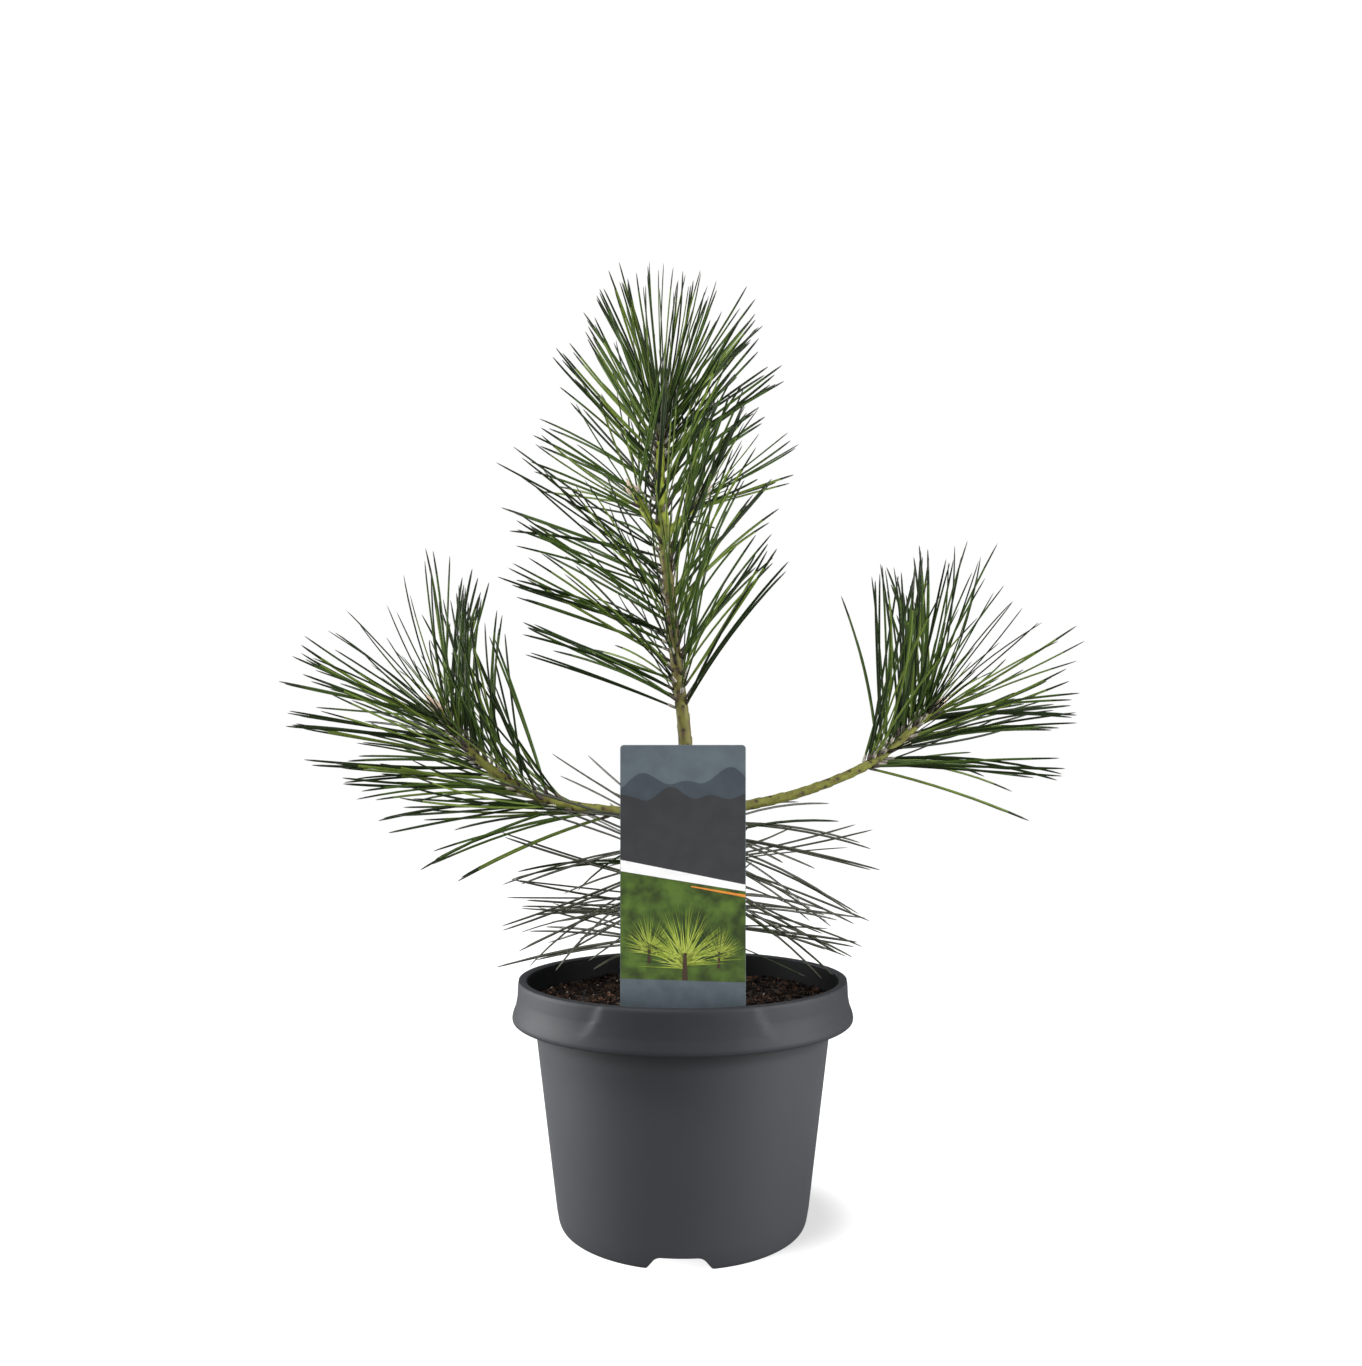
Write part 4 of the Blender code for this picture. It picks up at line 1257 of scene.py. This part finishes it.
def bark_mesh(name, limb, sides, settings, seed, age, collar):
    """Limb with the ridges and scars that the needles leave, from a grid wrapped round it."""
    shares = np.linspace(0.0, 1.0, 241)
    walk = np.array([limb_at(limb, t)[0] for t in shares])
    marks = np.concatenate(([0.0], np.cumsum(np.linalg.norm(np.diff(walk, axis=0), axis=1))))
    length = marks[-1]
    rings = int(length / BARK_STEP)
    bpy.ops.object.select_all(action="DESELECT")
    bpy.ops.mesh.primitive_grid_add(x_subdivisions=sides, y_subdivisions=rings, size=1.0)
    thing = bpy.context.object
    thing.name = thing.data.name = name
    flat = coordinates(thing)
    turn = (flat[:, 0] + 0.5) * 2 * math.pi
    place = (flat[:, 1] + 0.5) * length
    ring_places = np.linspace(0.0, length, rings + 1)
    ring_shares = np.interp(ring_places, marks, shares)
    middles = np.array([limb_at(limb, t)[0] for t in ring_shares])
    radii = np.array([limb_at(limb, t)[1] for t in ring_shares])
    radii += collar * np.exp(-np.maximum(ring_places - COLLAR_LENGTH, 0.0) / COLLAR_FADE)
    alongs = np.array([limb_direction(limb, t) for t in ring_shares])
    rights = np.cross(alongs, (0.0, 1.0, 0.0))
    rights /= np.linalg.norm(rights, axis=1)[:, None]
    others = np.cross(alongs, rights)
    ring = np.clip(np.round((flat[:, 1] + 0.5) * rings).astype(int), 0, rings)
    ridge, scar = scar_relief(turn, place, radii[ring], length, seed)
    rough = 0.25 * np.sin(turn * 5 + place * 900) + 0.2 * np.sin(turn * 3 - place * 2300)
    height = settings.relief * (ridge - 0.9 * scar + 0.22 * rough)
    radius = radii[ring] + height - 0.3 * settings.relief
    out = rights[ring] * np.cos(turn)[:, None] + others[ring] * np.sin(turn)[:, None]
    set_coordinates(thing, middles[ring] + out * radius[:, None])
    masks = {"scar": scar * 1.3, "age": age(middles[ring]) * (0.8 + 0.4 * ridge)}
    for label, values in masks.items():
        layer = thing.data.attributes.new(label, "FLOAT", "POINT")
        layer.data.foreach_set("value", np.clip(values, 0.0, 1.0).astype(np.float32))
    edit(thing)
    bpy.ops.mesh.remove_doubles(threshold=0.01 * MM)
    bpy.ops.mesh.select_all(action="DESELECT")
    bpy.ops.mesh.select_non_manifold()
    bpy.ops.mesh.fill_holes(sides=0)
    leave()
    face_outwards(thing)
    shade(thing, 60.0)
    return thing


def scar_relief(turn, place, radius, length, seed):
    """Ridges that run down from the needles' scars, and the scars themselves, from 0 to 1."""
    rng = random.Random(seed)
    ridge = np.zeros(len(turn))
    scar = np.zeros(len(turn))
    for index in range(int(length / SCAR_SPACING) + 4):
        at = index * SCAR_SPACING
        around = index * GOLDEN_ANGLE + rng.uniform(-0.15, 0.15)
        size = rng.uniform(0.8, 1.15)
        near = abs(place - at + 3.0 * MM) < 8.0 * MM
        swing = (turn[near] - around + math.pi) % (2 * math.pi) - math.pi
        across = swing * radius[near] / (RIDGE_WIDTH * size)
        down = (at - place[near]) / MM
        tail = np.clip(down / RIDGE_LENGTH, 0.0, 1.0)
        fall = np.where(down > 0, 1 - tail ** 1.5, np.exp(-(down / 0.7) ** 2))
        body = np.exp(-across ** 2 * (1 + 2.0 * tail)) * fall
        ridge[near] = np.maximum(ridge[near], body * size)
        spot = np.exp(-(across * 1.05) ** 2 - ((down + 0.35) / 0.9) ** 2)
        scar[near] = np.maximum(scar[near], spot * (size > 0.9))
    return ridge, scar


def trunk_age(points):
    """Brown up to the whorl of shoots and dark on it, green above."""
    z = points[:, 2]
    whorl = np.exp(-((z - WHORL) / WHORL_HALF) ** 2)
    return 0.95 - 0.85 * ramp(z, *GREEN_FROM) + 0.6 * whorl


def bough_age(points):
    return 0.78 - 0.08 * ramp(abs(points[:, 0]), 0.03, 0.13)


def shoot_age(points):
    return np.full(len(points), 0.10)


def scale_shape():
    """Bud scale as a narrow pointed shell, 1 m long: corners and faces."""
    verts, faces = [], []
    rows = ((0.0, 0.36), (0.3, 0.5), (0.65, 0.36), (1.0, 0.03))
    for up, half in rows:
        verts += [(-half, 0.0, up), (0.0, 0.22 * half + 0.05, up), (half, 0.0, up),
                  (0.0, -0.12, up)]
    for row in range(len(rows) - 1):
        for k in range(4):
            a, b = row * 4 + k, row * 4 + (k + 1) % 4
            faces.append((a, a + 4, b + 4, b))
    faces += [(0, 1, 2, 3), (15, 14, 13, 12)]
    return np.array(verts), faces


def bud_scales(point, along, length, radius, rng, verts, faces, kinds):
    """Overlapping scales round one pointed bud."""
    shape, sides = scale_shape()
    side = unit(np.cross(along, (0.1, 1.0, 0.05)))
    other = np.cross(along, side)
    for index in range(BUD_SCALES):
        share = index / BUD_SCALES
        turn = index * GOLDEN_ANGLE
        out = side * math.cos(turn) + other * math.sin(turn)
        across = np.cross(along, out)
        swell = math.sin(math.pi * (0.18 + 0.80 * share)) ** 0.7
        base = point + along * length * share * 0.82 + out * radius * swell * 0.82
        tilt = 0.30 - 0.75 * share + rng.uniform(-0.06, 0.06)
        up = unit(along + out * tilt)
        face = np.cross(across, up)
        size = length * (0.40 - 0.12 * share) * rng.uniform(0.85, 1.1)
        wide = radius * 0.75 * (1 - 0.55 * share)
        placed = base + np.outer(shape[:, 0] * wide, across) + np.outer(shape[:, 1] * wide, -face)
        placed = placed + np.outer(shape[:, 2] * size, up)
        start = len(verts)
        verts += [tuple(v) for v in placed]
        faces += [tuple(start + k for k in corners) for corners in sides]
        kinds += [1 if rng.random() < FRAYED else 0] * len(sides)


class PINE_OT_limbs(bpy.types.Operator):
    """Wrap bark round the trunk, the boughs and the shoots, and close their buds"""
    bl_idname = "pine.limbs"
    bl_label = "Trunk, boughs and buds"

    def execute(self, context):
        settings = context.scene.pine_bark
        bark = bark_material(settings)
        limbs = (
            ("trunk", TRUNK, 36, 1, trunk_age, 0.0, "trunk"),
            ("bough_left", BOUGH_LEFT, 28, 2, bough_age, BOUGH_COLLAR, "bough_left"),
            ("bough_right", BOUGH_RIGHT, 28, 3, bough_age, BOUGH_COLLAR, "bough_right"),
            ("shoot_left", SHOOT_LEFT, 24, 4, shoot_age, 0.0, "needles_shoot_left"),
            ("shoot_right", SHOOT_RIGHT, 24, 5, shoot_age, 0.0, "needles_shoot_right"),
        )
        for name, limb, sides, seed, age, collar, node in limbs:
            piece = bark_mesh(name + "_bark", limb, sides, settings, seed, age, collar)
            dress(piece, bark)
            finish_piece(piece, node)
        self.close_buds(settings)
        return {"FINISHED"}

    def close_buds(self, settings):
        """Close each limb with one large bud and three small ones round it."""
        rng = random.Random(17)
        scale = mottled_material("bud_scale", settings.bud, 0.6, contrast=0.4, coarse=400.0,
                                 spread=0.3)
        edge = mottled_material("bud_fringe", (0.62, 0.58, 0.52), 0.8, contrast=0.4, coarse=400.0,
                                spread=0.2)
        for name, limb, length, radius, node in BUDS:
            verts, faces, kinds = [], [], []
            point, _ = limb_at(limb, 1.0)
            along = limb_direction(limb, 1.0)
            point = point - along * 1.5 * MM
            bud_scales(point, along, length * MM, radius * MM, rng, verts, faces, kinds)
            for k in range(3):
                turn = k * 2.1 + rng.random()
                out = unit(np.array([math.cos(turn), math.sin(turn), 0.15]))
                small = unit(along + out * 0.45)
                start = point + out * radius * 0.7 * MM
                bud_scales(start, small, length * 0.6 * MM, radius * 0.55 * MM, rng, verts, faces,
                           kinds)
            piece = new_object(name, verts, faces, [scale, edge], kinds, smooth=False)
            face_outwards(piece)
            finish_piece(piece, node)


# Needles

def needle_mesh(line, flat, width, kind, verts, faces, kinds):
    """Blade with a rounded back and a grooved inner face, tapering to its tip."""
    count = len(verts)
    wide = np.interp(NEEDLE_SHARES, [share for share, _ in TAPER], [w for _, w in TAPER]) * width
    tangents = np.gradient(line, axis=0)
    tangents /= np.linalg.norm(tangents, axis=1)[:, None]
    backs = flat[None] - (tangents @ flat)[:, None] * tangents
    backs /= np.linalg.norm(backs, axis=1)[:, None]
    sides = np.cross(tangents, backs)
    corners = len(BLADE)
    for point, side, back, w in zip(line, sides, backs, wide):
        for across, up in BLADE:
            verts.append(point + side * across * w + back * up * w)
    tip_from = len(line) - 4
    for row in range(len(line) - 1):
        for k in range(corners):
            a = count + row * corners + k
            b = count + row * corners + (k + 1) % corners
            faces.append((a, a + corners, b + corners, b))
            plain = kind == OLD or row < tip_from
            kinds.append(kind if plain else (DARK, TIP, TIP)[row - tip_from])
    faces.append(tuple(range(count, count + corners)))
    last = count + (len(line) - 1) * corners
    faces.append(tuple(reversed(range(last, last + corners))))
    kinds += [kind, TIP]


def sheath_mesh(pair, width, rng, verts, faces, kinds):
    """Papery sleeve round the foot of a pair."""
    count = len(verts)
    length = SHEATH * rng.uniform(0.75, 1.15)
    side = pair.across
    other = np.cross(pair.start, side)
    for up, wide in SHEATH_RINGS:
        for k in range(6):
            turn = k * math.pi / 3
            ragged = 1 + (0.18 * math.sin(k * 2.4) if up == 1.0 else 0.0)
            spot = pair.root + pair.start * length * up * ragged
            round_it = side * math.cos(turn) + other * math.sin(turn) * 0.75
            verts.append(spot + round_it * wide * width)
    rows = len(SHEATH_RINGS) - 1
    for row in range(rows):
        for k in range(6):
            a, b = count + row * 6 + k, count + row * 6 + (k + 1) % 6
            faces.append((a, b, b + 6, a + 6))
    faces.append(tuple(reversed(range(count, count + 6))))
    faces.append(tuple(range(count + 6 * rows, count + 6 * rows + 6)))
    kinds += [rng.choices((0, 1), SHEATH_SHARES)[0]] * (6 * rows + 2)


class PINE_OT_needles(bpy.types.Operator):
    """Grow the pairs of needles and their sheaths, mass by mass, by the seeded rule"""
    bl_idname = "pine.needles"
    bl_label = "Needles"

    def execute(self, context):
        settings = context.scene.pine_needles
        greens = [mottled_material("needle_" + name, getattr(settings, name), 0.42, spread=0.25,
                                   specular=0.13) for name in ("light", "middle", "dark")]
        greens += [
            mottled_material("needle_old", settings.old, 0.45, contrast=0.4),
            mottled_material("needle_tip", settings.tip, 0.5, contrast=0.4, coarse=90.0,
                             spread=0.3),
        ]
        papers = [mottled_material(name, colour, 0.75, contrast=0.45, coarse=300.0, spread=0.45)
                  for name, colour in (("sheath_pale", settings.sheath),
                                       ("sheath_dark", (0.050, 0.038, 0.026)))]
        spans = limb_spans()
        for mass in MASSES:
            self.grow(mass, settings, greens, papers, spans)
        return {"FINISHED"}

    def grow(self, mass, settings, greens, papers, spans):
        """Blades and sheaths of one mass, with its colours dealt out pair by pair."""
        rng = random.Random(mass.seed + 500)
        width = settings.skirt_width if mass.name == SKIRT else settings.width
        blades, sheaths = ([], [], []), ([], [], [])
        for pair in grow_pairs(mass):
            kind = rng.choices((LIGHT, MIDDLE, DARK), GREEN_SHARES)[0]
            if mass.name == SKIRT:
                kind = rng.choices((OLD, DARK), SKIRT_SHARES)[0]
            kept = 0
            for line, hand in zip(pair.lines, (-1, 1)):
                slim = width * rng.uniform(*WIDTH_RANGE)
                if has_room(line, slim, spans):
                    needle_mesh(line, pair.across * hand, slim, kind, *blades)
                    kept += 1
            if kept:
                sheath_mesh(pair, width, rng, *sheaths)
        if not blades[1]:
            raise RuntimeError("no needle found room in " + mass.name)
        for part, (verts, faces, kinds), materials in (("_blades", blades, greens),
                                                       ("_sheaths", sheaths, papers)):
            piece = new_object(mass.name + part, verts, faces, materials, kinds)
            finish_piece(piece, mass.name)


class PINE_PT_panel(bpy.types.Panel):
    """Sidebar list of the plant's pieces and settings"""
    bl_idname = "PINE_PT_panel"
    bl_label = "Potted Pine"
    bl_space_type = "VIEW_3D"
    bl_region_type = "UI"
    bl_category = "Potted Pine"

    def draw(self, context):
        for step in STEPS:
            self.layout.operator(step.bl_idname)
        for name, kind in SETTINGS.items():
            box = self.layout.box()
            for value in kind.__annotations__:
                box.prop(getattr(context.scene, name), value)


STEPS = (PINE_OT_stage, PINE_OT_pot, PINE_OT_compost, PINE_OT_label, PINE_OT_limbs, PINE_OT_needles)


def register():
    for name, kind in SETTINGS.items():
        bpy.utils.register_class(kind)
        setattr(bpy.types.Scene, name, bpy.props.PointerProperty(type=kind))
    for kind in (*STEPS, PINE_PT_panel):
        bpy.utils.register_class(kind)


def unregister():
    for kind in reversed((*STEPS, PINE_PT_panel)):
        bpy.utils.unregister_class(kind)
    for name, kind in reversed(list(SETTINGS.items())):
        delattr(bpy.types.Scene, name)
        bpy.utils.unregister_class(kind)


def main():
    register()
    bpy.ops.pine.stage()
    bpy.ops.pine.pot()
    bpy.ops.pine.compost()
    bpy.ops.pine.label()
    bpy.ops.pine.limbs()
    bpy.ops.pine.needles()


if __name__ == "__main__":
    main()
